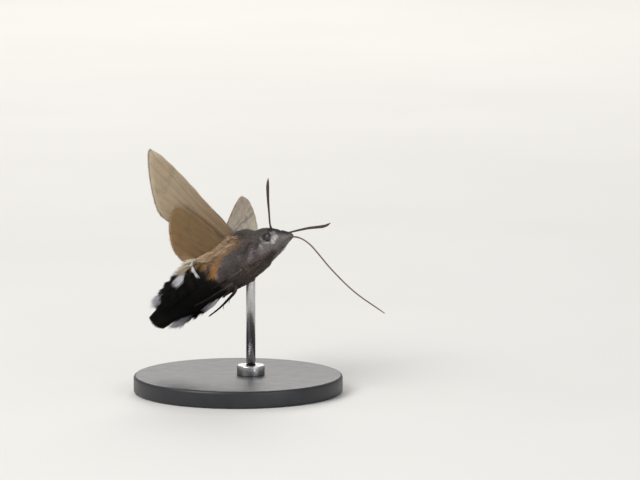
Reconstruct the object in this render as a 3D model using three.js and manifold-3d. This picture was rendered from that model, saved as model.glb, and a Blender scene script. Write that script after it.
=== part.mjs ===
// A hummingbird hawk moth (Macroglossum stellatarum), life size, hovering on a plain display stand.
// Millimetres, +Z up. The origin is the middle of the stand's underside and the moth heads along +X.
// The moth is drawn in a frame of its own: x runs from the tail's tip (0) to the tip of the beak (30),
// y is its left and z its back. One group pitches it up, one banks it right side up.
import * as THREE from 'three';
import { mergeVertices } from 'three/addons/utils/BufferGeometryUtils.js';
import Module from 'manifold-3d';

const wasm = await Module();
wasm.setup();

// Attitude and place of the moth over the stand
const PITCH = THREE.MathUtils.degToRad(33.8);
const BANK = THREE.MathUtils.degToRad(40);
const TAIL_X = -14.5;
const TAIL_Y = -1.8;
const TAIL_Z = 11.2;

// Gap between neighbouring pieces
const GAP = 0.3;

// Body lengths along its own axis
const BODY_LENGTH = 30;
const HEAD_START = 24.5;
const THORAX_START = 15.9;
const ABDOMEN_START = 4.5;
const BODY_SIDES = 28;

// Stations of the trunk: x, height of the middle line, half width, half height over and under it
const STATIONS = [
  [0.0, 0.15, 0.9, 0.45, 0.45],
  [2.0, 0.65, 1.5, 1.0, 1.0],
  [4.5, 1.1, 2.65, 2.15, 2.2],
  [7.0, 1.5, 3.65, 3.05, 3.1],
  [10.0, 1.85, 4.05, 3.55, 3.55],
  [13.0, 1.98, 4.0, 3.75, 3.7],
  [16.0, 2.0, 4.0, 3.9, 3.75],
  [19.0, 2.0, 4.25, 4.1, 3.75],
  [21.5, 1.95, 4.1, 4.0, 3.65],
  [23.2, 1.8, 3.55, 3.5, 3.3],
  [24.4, 1.62, 2.95, 2.95, 2.85],
  [25.8, 1.42, 2.72, 2.6, 2.55],
  [27.2, 1.1, 2.3, 1.95, 2.3],
  [28.4, 0.7, 1.62, 1.4, 1.7],
  [29.3, 0.32, 1.0, 0.85, 1.05],
  [30.0, 0.0, 0.35, 0.3, 0.35],
];

// Eyes
const EYE_RADIUS = 0.95;
const EYE_AT = new THREE.Vector3(26.1, 2.07, 0.85);

// Feelers
const FEELER_X = 27;
const FEELER_ANGLE = THREE.MathUtils.degToRad(50);
const FEELER_REACH = new THREE.Vector3(5.95, 7.45, 2.5);
const FEELER_BOW = new THREE.Vector3(0, -0.1, 0.36);
const FEELER_HOOK = new THREE.Vector3(0.1, -0.15, 0.4);
const FEELER_STEM = 0.75;
const FEELER_SHAFT = 0.26;
const FEELER_CLUB = 0.4;

// Tongue: reach forwards and down of each bend, with its lean to the left for each mm down
const TONGUE_BENDS = [[0, 0], [1.1, 1.0], [2.05, 2.7], [2.65, 4.65], [3.6, 8.2], [5.6, 13.6], [8.9, 19.6]];
const TONGUE_LEAN = 0.36;
const TONGUE_RADIUS = 0.27;

// Legs
const FEMUR_RADIUS = 0.3;
const TARSUS_RADIUS = 0.25;

// Wings
const MEMBRANE = 0.5;
const MARGIN = 0.34;
const VEIN_RISE = 0.13;
const WING_ROOT = new THREE.Vector3(21.3, 2.7, 3.9);
const HIND_DROP = MEMBRANE + 2 * VEIN_RISE + GAP + 0.05;

// Stand
const BASE_RADIUS = 18;
const BASE_HEIGHT = 3;
const BASE_BEVEL = 0.5;
const ROD_RADIUS = 0.8;
const ROD_FOOT = new THREE.Vector3(2.1, 0.6, BASE_HEIGHT + GAP);
const COLLAR_RADIUS = 2.4;
const COLLAR_HEIGHT = 1.4;

const colours = {
  head: 0x6b625c,
  thorax: 0x695a52,
  abdomen: 0x1d1814,
  tail: 0x14110f,
  eye: 0x191310,
  feeler: 0x3a2c24,
  tongue: 0x5b463a,
  forewing: 0xa98a63,
  hindwing: 0xb8783a,
  leg: 0x4a3b2c,
  steel: 0xa9abad,
  base: 0x24262a,
};

const moth = new THREE.Group();
moth.rotation.x = -BANK;
const flight = new THREE.Group();
flight.rotation.y = -PITCH;
flight.position.set(TAIL_X, TAIL_Y, TAIL_Z);
flight.add(moth);
const model = new THREE.Group();
model.add(flight);
model.updateMatrixWorld(true);

function addPiece(parent, name, geometry, color, roughness, metalness = 0) {
  const shown = geometry.index ? geometry.toNonIndexed() : geometry;
  shown.computeVertexNormals();
  const mesh = new THREE.Mesh(shown, new THREE.MeshStandardMaterial({ color, roughness, metalness }));
  mesh.name = name;
  parent.add(mesh);
}

// Seeded random numbers, so that every lock keeps its place
function draws(seed) {
  let state = seed;
  return (low, high) => {
    state = (state * 16807) % 2147483647;
    return low + ((high - low) * state) / 2147483647;
  };
}

// Solids, joins and cuts
function solidOf(geometry) {
  const bare = geometry.clone();
  bare.deleteAttribute('normal');
  bare.deleteAttribute('uv');
  const merged = mergeVertices(bare, 1e-4);
  return new wasm.Manifold(new wasm.Mesh({
    numProp: 3,
    vertProperties: new Float32Array(merged.attributes.position.array),
    triVerts: new Uint32Array(merged.index.array),
  }));
}

function largestSurface(solid) {
  const bodies = solid.decompose();
  let best = bodies[0];
  for (const body of bodies) {
    if (body.volume() > best.volume()) best = body;
  }
  const mesh = best.getMesh();
  const geometry = new THREE.BufferGeometry();
  geometry.setAttribute('position', new THREE.BufferAttribute(new Float32Array(mesh.vertProperties), 3));
  geometry.setIndex(new THREE.BufferAttribute(new Uint32Array(mesh.triVerts), 1));
  return geometry;
}

function fuse(geometries) {
  return geometries.map(solidOf).reduce((whole, next) => whole.add(next));
}

// A closed surface through rings of equal count, with a fan over each end
function loft(rings) {
  const sides = rings[0].length;
  const points = rings.flat();
  const index = [];
  for (let i = 0; i + 1 < rings.length; i++) {
    for (let j = 0; j < sides; j++) {
      const a = i * sides + j;
      const b = i * sides + ((j + 1) % sides);
      index.push(a, b, b + sides, a, b + sides, a + sides);
    }
  }
  for (const [ring, turned] of [[0, true], [rings.length - 1, false]]) {
    const middle = new THREE.Vector3();
    rings[ring].forEach((p) => middle.addScaledVector(p, 1 / sides));
    points.push(middle);
    for (let j = 0; j < sides; j++) {
      const a = ring * sides + j;
      const b = ring * sides + ((j + 1) % sides);
      if (turned) index.push(b, a, points.length - 1);
      else index.push(a, b, points.length - 1);
    }
  }
  const geometry = new THREE.BufferGeometry().setFromPoints(points);
  geometry.setIndex(index);
  return geometry;
}

// The trunk's surface at x, turned by angle from the left side towards the back, grown by some mm
function station(x) {
  const last = STATIONS.length - 1;
  let i = 0;
  while (i < last - 1 && STATIONS[i + 1][0] < x) i++;
  const [x0] = STATIONS[i];
  const [x1] = STATIONS[i + 1];
  const t = THREE.MathUtils.clamp((x - x0) / (x1 - x0), 0, 1);
  return [1, 2, 3, 4].map((k) => {
    const v0 = STATIONS[i][k];
    const v1 = STATIONS[i + 1][k];
    const before = i > 0 ? (v1 - STATIONS[i - 1][k]) / (x1 - STATIONS[i - 1][0]) : (v1 - v0) / (x1 - x0);
    const after = i + 2 <= last ? (STATIONS[i + 2][k] - v0) / (STATIONS[i + 2][0] - x0) : (v1 - v0) / (x1 - x0);
    const h = x1 - x0;
    return (2 * t ** 3 - 3 * t ** 2 + 1) * v0 + (t ** 3 - 2 * t ** 2 + t) * h * before
      + (3 * t ** 2 - 2 * t ** 3) * v1 + (t ** 3 - t ** 2) * h * after;
  });
}

function trunkPoint(x, angle, grow = 0) {
  const [middle, width, over, under] = station(x);
  const rise = Math.sin(angle) > 0 ? over : under;
  return new THREE.Vector3(
    x,
    (width + grow) * Math.cos(angle),
    middle + (rise + grow) * Math.sin(angle),
  );
}

function trunkLength(start, end, rings, grow = 0, shape = () => 1) {
  const out = [];
  for (let i = 0; i <= rings; i++) {
    const x = start + ((end - start) * i) / rings;
    const ring = [];
    for (let j = 0; j < BODY_SIDES; j++) {
      const angle = (2 * Math.PI * j) / BODY_SIDES;
      const p = trunkPoint(x, angle, grow);
      const [middle] = station(x);
      const keep = shape(x, angle);
      ring.push(new THREE.Vector3(x, p.y * keep, middle + (p.z - middle) * keep));
    }
    out.push(ring);
  }
  return loft(out);
}

// A round bar of changing thickness through bends; radiusAt takes the share of the length
function bar(bends, radiusAt, steps, sides) {
  const path = new THREE.CatmullRomCurve3(bends, false, 'centripetal');
  const frames = path.computeFrenetFrames(steps, false);
  const rings = [];
  for (let i = 0; i <= steps; i++) {
    const centre = path.getPointAt(i / steps);
    const radius = radiusAt(i / steps);
    const ring = [];
    for (let j = 0; j < sides; j++) {
      const angle = (2 * Math.PI * j) / sides;
      ring.push(centre.clone()
        .addScaledVector(frames.normals[i], radius * Math.cos(angle))
        .addScaledVector(frames.binormals[i], radius * Math.sin(angle)));
    }
    rings.push(ring);
  }
  return loft(rings);
}

// A flat tapered lock of scales: rooted at a point, it runs along one way and bends to another
const LOCK_SHARES = [0, 0.35, 0.72, 1];
const LOCK_WIDTHS = [0.72, 1, 0.8, 0.22];

function lock(root, along, across, length, width, thickness, bend) {
  const ahead = along.clone().normalize();
  const side = across.clone().addScaledVector(ahead, -across.dot(ahead)).normalize();
  const normal = new THREE.Vector3().crossVectors(ahead, side);
  const rings = LOCK_SHARES.map((share, i) => {
    const centre = root.clone()
      .addScaledVector(ahead, length * share)
      .addScaledVector(bend, share * share);
    const half = (width / 2) * LOCK_WIDTHS[i];
    const deep = (thickness / 2) * (1 - 0.35 * share);
    return [[1, 0], [0.45, 1], [-0.45, 1], [-1, 0], [-0.45, -1], [0.45, -1]].map(([u, v]) =>
      centre.clone().addScaledVector(side, half * u).addScaledVector(normal, deep * v));
  });
  return loft(rings);
}

// Head: a rounded capsule that runs out into the beak of two palps, with sockets for the eyes
function headShape(x, angle) {
  const forward = THREE.MathUtils.smoothstep(x, 26.4, 28.6);
  const seam = Math.exp(-(((angle - 1.5 * Math.PI) / 0.34) ** 2)) * 0.2
    + Math.exp(-(((angle - 0.5 * Math.PI) / 0.3) ** 2)) * 0.16;
  return 1 - forward * seam;
}

function mirrored(point, side) {
  return new THREE.Vector3(point.x, point.y * side, point.z);
}

let head = solidOf(trunkLength(HEAD_START, BODY_LENGTH, 15, 0, headShape));
for (const side of [1, -1]) {
  const centre = mirrored(EYE_AT, side);
  const socket = new THREE.SphereGeometry(EYE_RADIUS + GAP, 16, 12).translate(centre.x, centre.y, centre.z);
  head = head.subtract(solidOf(socket));
}
const headGeometry = largestSurface(head);
addPiece(moth, 'head', headGeometry, colours.head, 0.85);

for (const [name, side] of [['eye_left', 1], ['eye_right', -1]]) {
  const centre = mirrored(EYE_AT, side);
  const eye = new THREE.SphereGeometry(EYE_RADIUS, 14, 10).translate(centre.x, centre.y, centre.z);
  addPiece(moth, name, eye, colours.eye, 0.2);
}

// Feelers: a thin shaft that thickens to a club and ends in a fine hook
function feelerRadius(share) {
  const club = THREE.MathUtils.smoothstep(share, 0.25, 0.8);
  const tip = THREE.MathUtils.smoothstep(share, 0.86, 1);
  return THREE.MathUtils.lerp(FEELER_SHAFT, FEELER_CLUB, club) * (1 - 0.72 * tip);
}

const feelerFoot = trunkPoint(FEELER_X, FEELER_ANGLE, GAP + 0.04);
const feelerNormal = new THREE.Vector3(0.15, Math.cos(FEELER_ANGLE), Math.sin(FEELER_ANGLE)).normalize();

for (const [name, side] of [['antenna_left', 1], ['antenna_right', -1]]) {
  const bends = [feelerFoot.clone(), feelerFoot.clone().addScaledVector(feelerNormal, FEELER_STEM)];
  for (const share of [0.25, 0.55, 0.88, 1]) {
    bends.push(feelerFoot.clone()
      .addScaledVector(FEELER_REACH, share)
      .addScaledVector(FEELER_BOW, Math.sin(Math.PI * share)));
  }
  bends[5].add(FEELER_HOOK);
  const placed = bends.map((p) => mirrored(p, side));
  addPiece(moth, name, bar(placed, feelerRadius, 18, 8), colours.feeler, 0.8);
}

// Tongue in two lengths, from between the palps
const tongueRoot = new THREE.Vector3(BODY_LENGTH + GAP + 0.02, 0, -0.12);
const tongueBends = TONGUE_BENDS.map(([ahead, down]) => tongueRoot.clone()
  .add(new THREE.Vector3(ahead, down * TONGUE_LEAN, -down)));
const tonguePath = new THREE.CatmullRomCurve3(tongueBends, false, 'centripetal');
const tongueLength = tonguePath.getLength();
const TONGUE_PARTING = 0.48;

function tongueStretch(from, to) {
  const bends = [];
  for (let i = 0; i <= 8; i++) bends.push(tonguePath.getPointAt(from + ((to - from) * i) / 8));
  return bends;
}

addPiece(moth, 'proboscis_base', bar(tongueStretch(0, TONGUE_PARTING), () => TONGUE_RADIUS, 14, 8),
  colours.tongue, 0.5);
addPiece(moth, 'proboscis_end', bar(
  tongueStretch(TONGUE_PARTING + GAP / tongueLength, 1),
  (share) => TONGUE_RADIUS * (1 - 0.25 * share),
  12,
  8,
), colours.tongue, 0.5);

// Thorax
const thorax = trunkLength(THORAX_START, HEAD_START - GAP, 11);
addPiece(moth, 'thorax', thorax, colours.thorax, 0.9);

// Abdomen: a flattened cone with a row of flat side tufts on each segment
const TUFT_ROWS = [
  { x: 15.0, length: 2.3, out: 0.55, width: 1.3 },
  { x: 13.2, length: 2.6, out: 0.68, width: 1.5 },
  { x: 11.5, length: 2.7, out: 0.75, width: 1.6 },
  { x: 9.8, length: 2.8, out: 0.85, width: 1.65 },
  { x: 8.1, length: 2.8, out: 0.85, width: 1.6 },
  { x: 6.5, length: 2.7, out: 0.82, width: 1.5 },
  { x: 5.1, length: 2.8, out: 0.7, width: 1.3 },
];
// In each row two locks lie flat on the flank and two fan out sideways: degrees over the middle line
const TUFT_LOCKS = [
  { lean: 18, fanned: false },
  { lean: -18, fanned: false },
  { lean: 6, fanned: true },
  { lean: -8, fanned: true },
];
const TUFT_THICKNESS = 0.6;
const TUFT_ROOT_DEPTH = 0.65;

function sideTufts() {
  const random = draws(71);
  const locks = [];
  for (const side of [1, -1]) {
    for (const row of TUFT_ROWS) {
      for (const { lean, fanned } of TUFT_LOCKS) {
        const level = THREE.MathUtils.degToRad(lean + random(-2, 2));
        const angle = side > 0 ? level : Math.PI - level;
        const root = trunkPoint(row.x + random(-0.12, 0.12), angle, -TUFT_ROOT_DEPTH);
        const out = new THREE.Vector3(0, Math.cos(angle), Math.sin(angle));
        const along = new THREE.Vector3(-1, 0, 0).addScaledVector(out, row.out);
        const round = new THREE.Vector3(0, -Math.sin(angle), Math.cos(angle));
        const across = fanned ? new THREE.Vector3().crossVectors(round, along) : round;
        const bend = new THREE.Vector3(-0.3, 0, 0).addScaledVector(out, -0.35);
        locks.push(lock(root, along, across, row.length + random(-0.15, 0.15), row.width,
          TUFT_THICKNESS, bend));
      }
    }
  }
  return locks;
}

const abdomenCore = trunkLength(ABDOMEN_START, THORAX_START - GAP, 13);
addPiece(moth, 'abdomen', largestSurface(fuse([abdomenCore, ...sideTufts()])), colours.abdomen, 0.95);

// Tail fan: two tiers of overlapping vanes, closed to a brush, over a short core
const FAN_TIERS = [
  { x: 3.9, count: 7, spread: 1.75, lift: 0.62, length: 2.9, width: 1.15 },
  { x: 3.4, count: 8, spread: 1.65, lift: 0.0, length: 3.5, width: 1.05 },
  { x: 3.8, count: 6, spread: 1.5, lift: -0.62, length: 2.8, width: 1.1 },
];
const FAN_THICKNESS = 0.55;

function fanVanes() {
  const random = draws(29);
  const vanes = [];
  const [middle] = station(ABDOMEN_START - GAP);
  for (const tier of FAN_TIERS) {
    for (let i = 0; i < tier.count; i++) {
      const share = (2 * i) / (tier.count - 1) - 1;
      const root = new THREE.Vector3(tier.x, share * tier.spread * 0.78,
        middle + tier.lift * (1.6 - 0.5 * share * share));
      const end = new THREE.Vector3(tier.x - tier.length + random(-0.12, 0.12) + 0.5 * share * share,
        share * tier.spread * 0.88, 0.2 + tier.lift * 0.75);
      const along = end.clone().sub(root);
      const bend = new THREE.Vector3(0, -share * 0.1, -0.12);
      vanes.push(lock(root, along, new THREE.Vector3(0, 1, 0), along.length(), tier.width,
        FAN_THICKNESS, bend));
    }
  }
  return vanes;
}

const fanCore = trunkLength(1.9, ABDOMEN_START - GAP, 5, -0.35);
addPiece(moth, 'tail_fan', largestSurface(fuse([fanCore, ...fanVanes()])), colours.tail, 0.95);

// Wings: each is one plate with its main veins as ridges, spread along rays from the root
// A vein is [share of the margin where it ends, kind]: 0 the fore stem, 1 the cell, 2 the hind stem
const FOREWING = {
  margin: [[6.5, -0.35], [12, -0.45], [17, -0.1], [20.6, 0.55], [22.4, 1.65], [21.7, 3.0], [19.6, 5.1],
    [16.8, 7.2], [13.9, 8.5], [10.5, 7.6], [6.2, 5.6], [2.2, 4.1]],
  roots: [[-2.6, -0.05], [-2.6, 2.6]],
  stems: [[10.2, 1.7], [10.4, 3.4], [9.6, 4.9]],
  veins: [[0.17, 0], [0.27, 0], [0.345, 0], [0.405, 0], [0.46, 1], [0.52, 1], [0.58, 1], [0.65, 2],
    [0.72, 2], [0.86, 2]],
  drop: 0,
};
const HINDWING = {
  margin: [[4.1, 2.0], [7.75, 2.35], [10.85, 3.25], [12.0, 4.65], [11.75, 6.45], [10.3, 8.55],
    [8.0, 10.2], [5.45, 10.45], [3.1, 9.3], [0.9, 7.1]],
  roots: [[-2.6, 2.3], [-2.6, 5.2]],
  stems: [[4.9, 3.75], [4.9, 5.0], [4.55, 6.2]],
  veins: [[0.16, 0], [0.3, 0], [0.42, 1], [0.52, 1], [0.61, 1], [0.7, 2], [0.79, 2], [0.9, 2]],
  drop: -HIND_DROP,
};
const VEIN_HALF_WIDTH = 0.011;
const RAY_STEPS = 9;
const WING_BEND = 2;
const WING_CAMBER = 0.45;

function wingPlate(plan) {
  const margin = new THREE.CatmullRomCurve3(
    plan.margin.map(([x, y]) => new THREE.Vector3(x, y, 0)),
    false,
    'centripetal',
  );
  const rays = [{ share: 0, kind: 0, crest: 1 }];
  for (const [share, kind] of plan.veins) {
    rays.push({ share: share - VEIN_HALF_WIDTH, kind, crest: 0 });
    rays.push({ share, kind, crest: 1 });
    rays.push({ share: share + VEIN_HALF_WIDTH, kind, crest: 0 });
  }
  rays.push({ share: 1, kind: 2, crest: 0 });

  const [rootA, rootB] = plan.roots.map(([x, y]) => new THREE.Vector3(x, y, 0));
  const grid = rays.map((ray, r) => {
    const start = rootA.clone().lerp(rootB, r / (rays.length - 1));
    const end = margin.getPointAt(ray.share);
    const edge = r === 0 || r === rays.length - 1;
    const [stemX, stemY] = plan.stems[ray.kind];
    const turn = start.clone().lerp(end, 0.5);
    if (!edge) turn.lerp(new THREE.Vector3(stemX, stemY, 0), 0.3);
    const path = new THREE.QuadraticBezierCurve3(start, turn, end);
    const points = [];
    for (let i = 0; i <= RAY_STEPS; i++) {
      const t = i / RAY_STEPS;
      const p = path.getPoint(t);
      const fade = ray.kind === 1 ? THREE.MathUtils.smoothstep(t, 0.4, 0.6) : 1;
      const rise = VEIN_RISE * ray.crest * fade * (1 - 0.6 * THREE.MathUtils.smoothstep(t, 0.75, 1));
      const rim = i === RAY_STEPS || edge ? MARGIN / 2 : MEMBRANE / 2;
      p.z = plan.drop + WING_BEND * (p.x / 22) ** 2 - WING_CAMBER * ((p.y - 3) / 6) ** 2;
      points.push({ p, half: rim + rise });
    }
    return points;
  });

  const rows = grid.length;
  const columns = RAY_STEPS + 1;
  const points = [];
  for (const face of [1, -1]) {
    for (const ray of grid) {
      for (const { p, half } of ray) points.push(new THREE.Vector3(p.x, p.y, p.z + face * half));
    }
  }
  const under = rows * columns;
  const index = [];
  const quad = (a, b, c, d) => index.push(a, b, c, a, c, d);
  for (let r = 0; r + 1 < rows; r++) {
    for (let i = 0; i + 1 < columns; i++) {
      const a = r * columns + i;
      const b = a + 1;
      const c = a + columns + 1;
      const d = a + columns;
      index.push(a, b, c, a, c, d);
      index.push(under + a, under + c, under + b, under + a, under + d, under + c);
    }
  }
  for (let i = 0; i + 1 < columns; i++) {
    quad(i + 1, i, under + i, under + i + 1);
    const last = (rows - 1) * columns + i;
    quad(last, last + 1, under + last + 1, under + last);
  }
  for (let r = 0; r + 1 < rows; r++) {
    const inner = r * columns;
    quad(inner, inner + columns, under + inner + columns, under + inner);
    const outer = inner + columns - 1;
    quad(outer + columns, outer, under + outer, under + outer + columns);
  }
  const geometry = new THREE.BufferGeometry().setFromPoints(points);
  geometry.setIndex(index);
  return geometry;
}

// A wing's own frame: x along the span, y back along the chord, z out of its upper side.
// Each is raised, swept back and twisted by some degrees.
const WING_SET = {
  left: { side: 1, forewing: [64, 5.2, 8.7], hindwing: [64, 5.2, 8.7] },
  right: { side: -1, forewing: [54.3, 15, -19.4], hindwing: [54, 16.9, -18] },
};

function wingMatrix(side, degrees) {
  const [up, back, turn] = degrees.map(THREE.MathUtils.degToRad);
  const span = new THREE.Vector3(-Math.sin(back), side * Math.cos(back) * Math.cos(up),
    Math.cos(back) * Math.sin(up));
  const tail = new THREE.Vector3(-1, 0, 0);
  const chord = tail.addScaledVector(span, -tail.dot(span)).normalize();
  const inner = new THREE.Vector3().crossVectors(span, chord).multiplyScalar(-side);
  chord.multiplyScalar(Math.cos(turn)).addScaledVector(inner, Math.sin(turn));
  const normal = new THREE.Vector3().crossVectors(span, chord).multiplyScalar(side);
  return new THREE.Matrix4().makeBasis(span, chord, normal).setPosition(mirrored(WING_ROOT, side));
}

const clearance = solidOf(trunkLength(1.5, 29, 30, GAP + 0.03));

for (const [place, setting] of Object.entries(WING_SET)) {
  for (const [name, plan] of [['forewing', FOREWING], ['hindwing', HINDWING]]) {
    const matrix = wingMatrix(setting.side, setting[name]);
    const plate = wingPlate(plan).applyMatrix4(matrix);
    if (matrix.determinant() < 0) {
      const order = plate.index.array;
      for (let i = 0; i < order.length; i += 3) [order[i + 1], order[i + 2]] = [order[i + 2], order[i + 1]];
    }
    const wing = largestSurface(solidOf(plate).subtract(clearance));
    addPiece(moth, `${name}_${place}`, wing, colours[name], 0.8);
  }
}

// Legs, folded along the belly: x of each bend, angle from the belly's middle line, gap under the body
const LEGS = {
  fore: [[21.4, 23, 0.02], [22.6, 22.5, 0.05], [23.5, 17, 0.08], [22.9, 9, 0.08], [21.2, 8, 0.03],
    [19.0, 8, 0.03]],
  mid: [[19.8, 24, 0.02], [18.2, 23, 0.03], [15.8, 22, 0.05], [13.2, 22, 0.08]],
  hind: [[16.7, 8, 0.02], [15.9, 12, 0.35], [14.1, 15, 0.66], [11.9, 17, 1.03], [9.55, 20, 1.32]],
};

function legRadius(share) {
  return THREE.MathUtils.lerp(FEMUR_RADIUS, TARSUS_RADIUS, THREE.MathUtils.smoothstep(share, 0.3, 0.75));
}

for (const [pair, bends] of Object.entries(LEGS)) {
  for (const [place, side] of [['left', 1], ['right', -1]]) {
    const path = bends.map(([x, degrees, gap]) => {
      const angle = 1.5 * Math.PI + side * THREE.MathUtils.degToRad(degrees);
      return trunkPoint(x, angle, GAP + gap + FEMUR_RADIUS);
    });
    addPiece(moth, `leg_${pair}_${place}`, bar(path, legRadius, 14, 8), colours.leg, 0.85);
  }
}

// Stand: a round plate, a collar and one rod up to the underside of the thorax
const plate = new THREE.LatheGeometry([
  new THREE.Vector2(0, 0),
  new THREE.Vector2(BASE_RADIUS - BASE_BEVEL, 0),
  new THREE.Vector2(BASE_RADIUS, BASE_BEVEL),
  new THREE.Vector2(BASE_RADIUS, BASE_HEIGHT - BASE_BEVEL),
  new THREE.Vector2(BASE_RADIUS - BASE_BEVEL, BASE_HEIGHT),
  new THREE.Vector2(0, BASE_HEIGHT),
], 48).rotateX(Math.PI / 2);
addPiece(model, 'stand_base', plate, colours.base, 0.45);

const collar = new THREE.LatheGeometry([
  new THREE.Vector2(ROD_RADIUS + GAP, 0),
  new THREE.Vector2(COLLAR_RADIUS, 0),
  new THREE.Vector2(COLLAR_RADIUS, COLLAR_HEIGHT * 0.7),
  new THREE.Vector2(COLLAR_RADIUS * 0.8, COLLAR_HEIGHT),
  new THREE.Vector2(ROD_RADIUS + GAP, COLLAR_HEIGHT),
  new THREE.Vector2(ROD_RADIUS + GAP, 0),
], 24).rotateX(Math.PI / 2).translate(ROD_FOOT.x, ROD_FOOT.y, ROD_FOOT.z);
addPiece(model, 'stand_collar', collar, colours.steel, 0.3, 0.9);

const rodLength = 17;
const rodBlank = new THREE.CylinderGeometry(ROD_RADIUS, ROD_RADIUS, rodLength, 16)
  .rotateX(Math.PI / 2)
  .translate(ROD_FOOT.x, ROD_FOOT.y, ROD_FOOT.z + rodLength / 2);
const bodyInPlace = clearance.transform(moth.matrixWorld.toArray());
addPiece(model, 'stand_rod', largestSurface(solidOf(rodBlank).subtract(bodyInPlace)), colours.steel, 0.3, 0.9);

export default model;
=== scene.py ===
import math

import bpy
import numpy as np
from mathutils import Matrix, Vector


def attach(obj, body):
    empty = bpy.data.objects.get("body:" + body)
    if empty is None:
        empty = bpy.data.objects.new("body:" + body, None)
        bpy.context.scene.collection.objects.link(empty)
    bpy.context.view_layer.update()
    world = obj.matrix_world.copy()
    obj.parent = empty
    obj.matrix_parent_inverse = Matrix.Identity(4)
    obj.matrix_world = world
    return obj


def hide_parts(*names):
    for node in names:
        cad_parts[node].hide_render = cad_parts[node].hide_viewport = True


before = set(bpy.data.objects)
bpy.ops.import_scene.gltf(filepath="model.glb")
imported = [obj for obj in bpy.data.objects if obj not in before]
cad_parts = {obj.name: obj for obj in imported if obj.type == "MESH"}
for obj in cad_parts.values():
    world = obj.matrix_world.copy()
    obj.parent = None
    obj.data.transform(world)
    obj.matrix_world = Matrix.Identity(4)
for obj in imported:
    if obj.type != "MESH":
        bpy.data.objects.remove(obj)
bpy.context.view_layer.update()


# Stand plate
# A round slab of steel, turned with a soft edge and sprayed satin near-black.
# It rests on its flat underside and carries everything else through one rod.
MM = 0.001
PLATE_RADIUS = 18.0
PLATE_HEIGHT = 3.0
PLATE_EDGE = 0.5
# A ring of faces left flat beside the rounded edge, so that the flats shade evenly
PLATE_RIM = 0.4
PLATE_SIDES = 128


def in_scene(name, data):
    """A new object holding some data, put into the scene."""
    made = bpy.data.objects.new(name, data)
    bpy.context.scene.collection.objects.link(made)
    return made


def mesh_piece(name, points, faces, materials, choice=None, smooth=True):
    """A finished piece at the origin, from points in metres and arrays of faces with equal corners."""
    mesh = bpy.data.meshes.new(name)
    mesh.vertices.add(len(points))
    mesh.vertices.foreach_set("co", np.asarray(points, np.float32).ravel())
    corners = np.concatenate([np.asarray(f, np.int32).ravel() for f in faces])
    counts = np.concatenate([np.full(len(f), np.shape(f)[1], np.int32) for f in faces])
    mesh.loops.add(len(corners))
    mesh.loops.foreach_set("vertex_index", corners)
    mesh.polygons.add(len(counts))
    mesh.polygons.foreach_set("loop_start", np.cumsum(counts) - counts)
    for material in materials:
        mesh.materials.append(material)
    if choice is not None:
        mesh.polygons.foreach_set("material_index", np.asarray(choice, np.int32))
    mesh.polygons.foreach_set("use_smooth", np.full(len(counts), smooth))
    mesh.update(calc_edges=True)
    mesh.validate()
    return in_scene(name, mesh)


def arc(centre, radius, start, end, steps=6):
    """Points of an arc in a turned profile, in degrees from the radius outwards."""
    turns = np.radians(np.linspace(start, end, steps + 1))
    return [(centre[0] + radius * math.cos(t), centre[1] + radius * math.sin(t)) for t in turns]


def tube_faces(rows, sides, ring=False):
    """Faces over rows of points round a bar. They close in a ring, or on two end points after the rows."""
    index = np.arange(rows * sides).reshape(rows, sides)
    lower = index if ring else index[:-1]
    upper = np.roll(index, -1, axis=0) if ring else index[1:]
    quads = np.stack([lower, np.roll(lower, -1, 1), np.roll(upper, -1, 1), upper], -1).reshape(-1, 4)
    if ring:
        return [quads]
    start, end = np.full(sides, index.size), np.full(sides, index.size + 1)
    fan_low = np.stack([start, np.roll(index[0], -1), index[0]], -1)
    fan_high = np.stack([end, index[-1], np.roll(index[-1], -1)], -1)
    return [quads, np.concatenate([fan_low, fan_high])]


def turned(profile, sides, foot=(0.0, 0.0, 0.0), ring=False):
    """Points and faces of a profile of (radius, height) turned about Z, or of a closed ring of it."""
    turns = np.linspace(0, 2 * np.pi, sides, endpoint=False)
    inner = profile if ring else profile[1:-1]
    points = [(r * math.cos(t), r * math.sin(t), z) for r, z in inner for t in turns]
    if not ring:
        points += [(0, 0, profile[0][1]), (0, 0, profile[-1][1])]
    return (np.array(points, float) + foot) * MM, tube_faces(len(inner), sides, ring)


def wire(tree, kind, feeds, **settings):
    """Adds a node, sets it up, and feeds its sockets with values or with other nodes' outputs."""
    made = tree.nodes.new(kind)
    for key, value in settings.items():
        setattr(made, key, value)
    for key, value in feeds.items():
        if isinstance(value, bpy.types.NodeSocket):
            tree.links.new(value, made.inputs[key])
        else:
            made.inputs[key].default_value = value
    return made


def finish(name, **values):
    """A new material with the shader's constant sockets set; gives the material, its tree and shader."""
    material = bpy.data.materials.new(name)
    material.use_nodes = True
    shader = material.node_tree.nodes["Principled BSDF"]
    for key, value in values.items():
        shader.inputs[key.replace("_", " ")].default_value = value
    return material, material.node_tree, shader


def in_millimetres(tree, stretch=(1.0, 1.0, 1.0)):
    """Object coordinates in millimetres, stretched along the axes."""
    place = wire(tree, "ShaderNodeTexCoord", {}).outputs["Object"]
    scale = tuple(s / MM for s in stretch)
    return wire(tree, "ShaderNodeVectorMath", {0: place, 1: scale}, operation="MULTIPLY").outputs[0]


def noise(tree, place, scale, detail=3.0, roughness=0.5):
    """Noise with a feature every 1 / scale of the place's units."""
    feeds = {"Vector": place, "Scale": scale, "Detail": detail, "Roughness": roughness}
    return wire(tree, "ShaderNodeTexNoise", feeds).outputs[0]


def between(tree, value, low, high, start=0.3, end=0.7):
    """A value from start to end spread over low to high."""
    feeds = {"Value": value, 1: start, 2: end, 3: low, 4: high}
    return wire(tree, "ShaderNodeMapRange", feeds).outputs[0]


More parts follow.
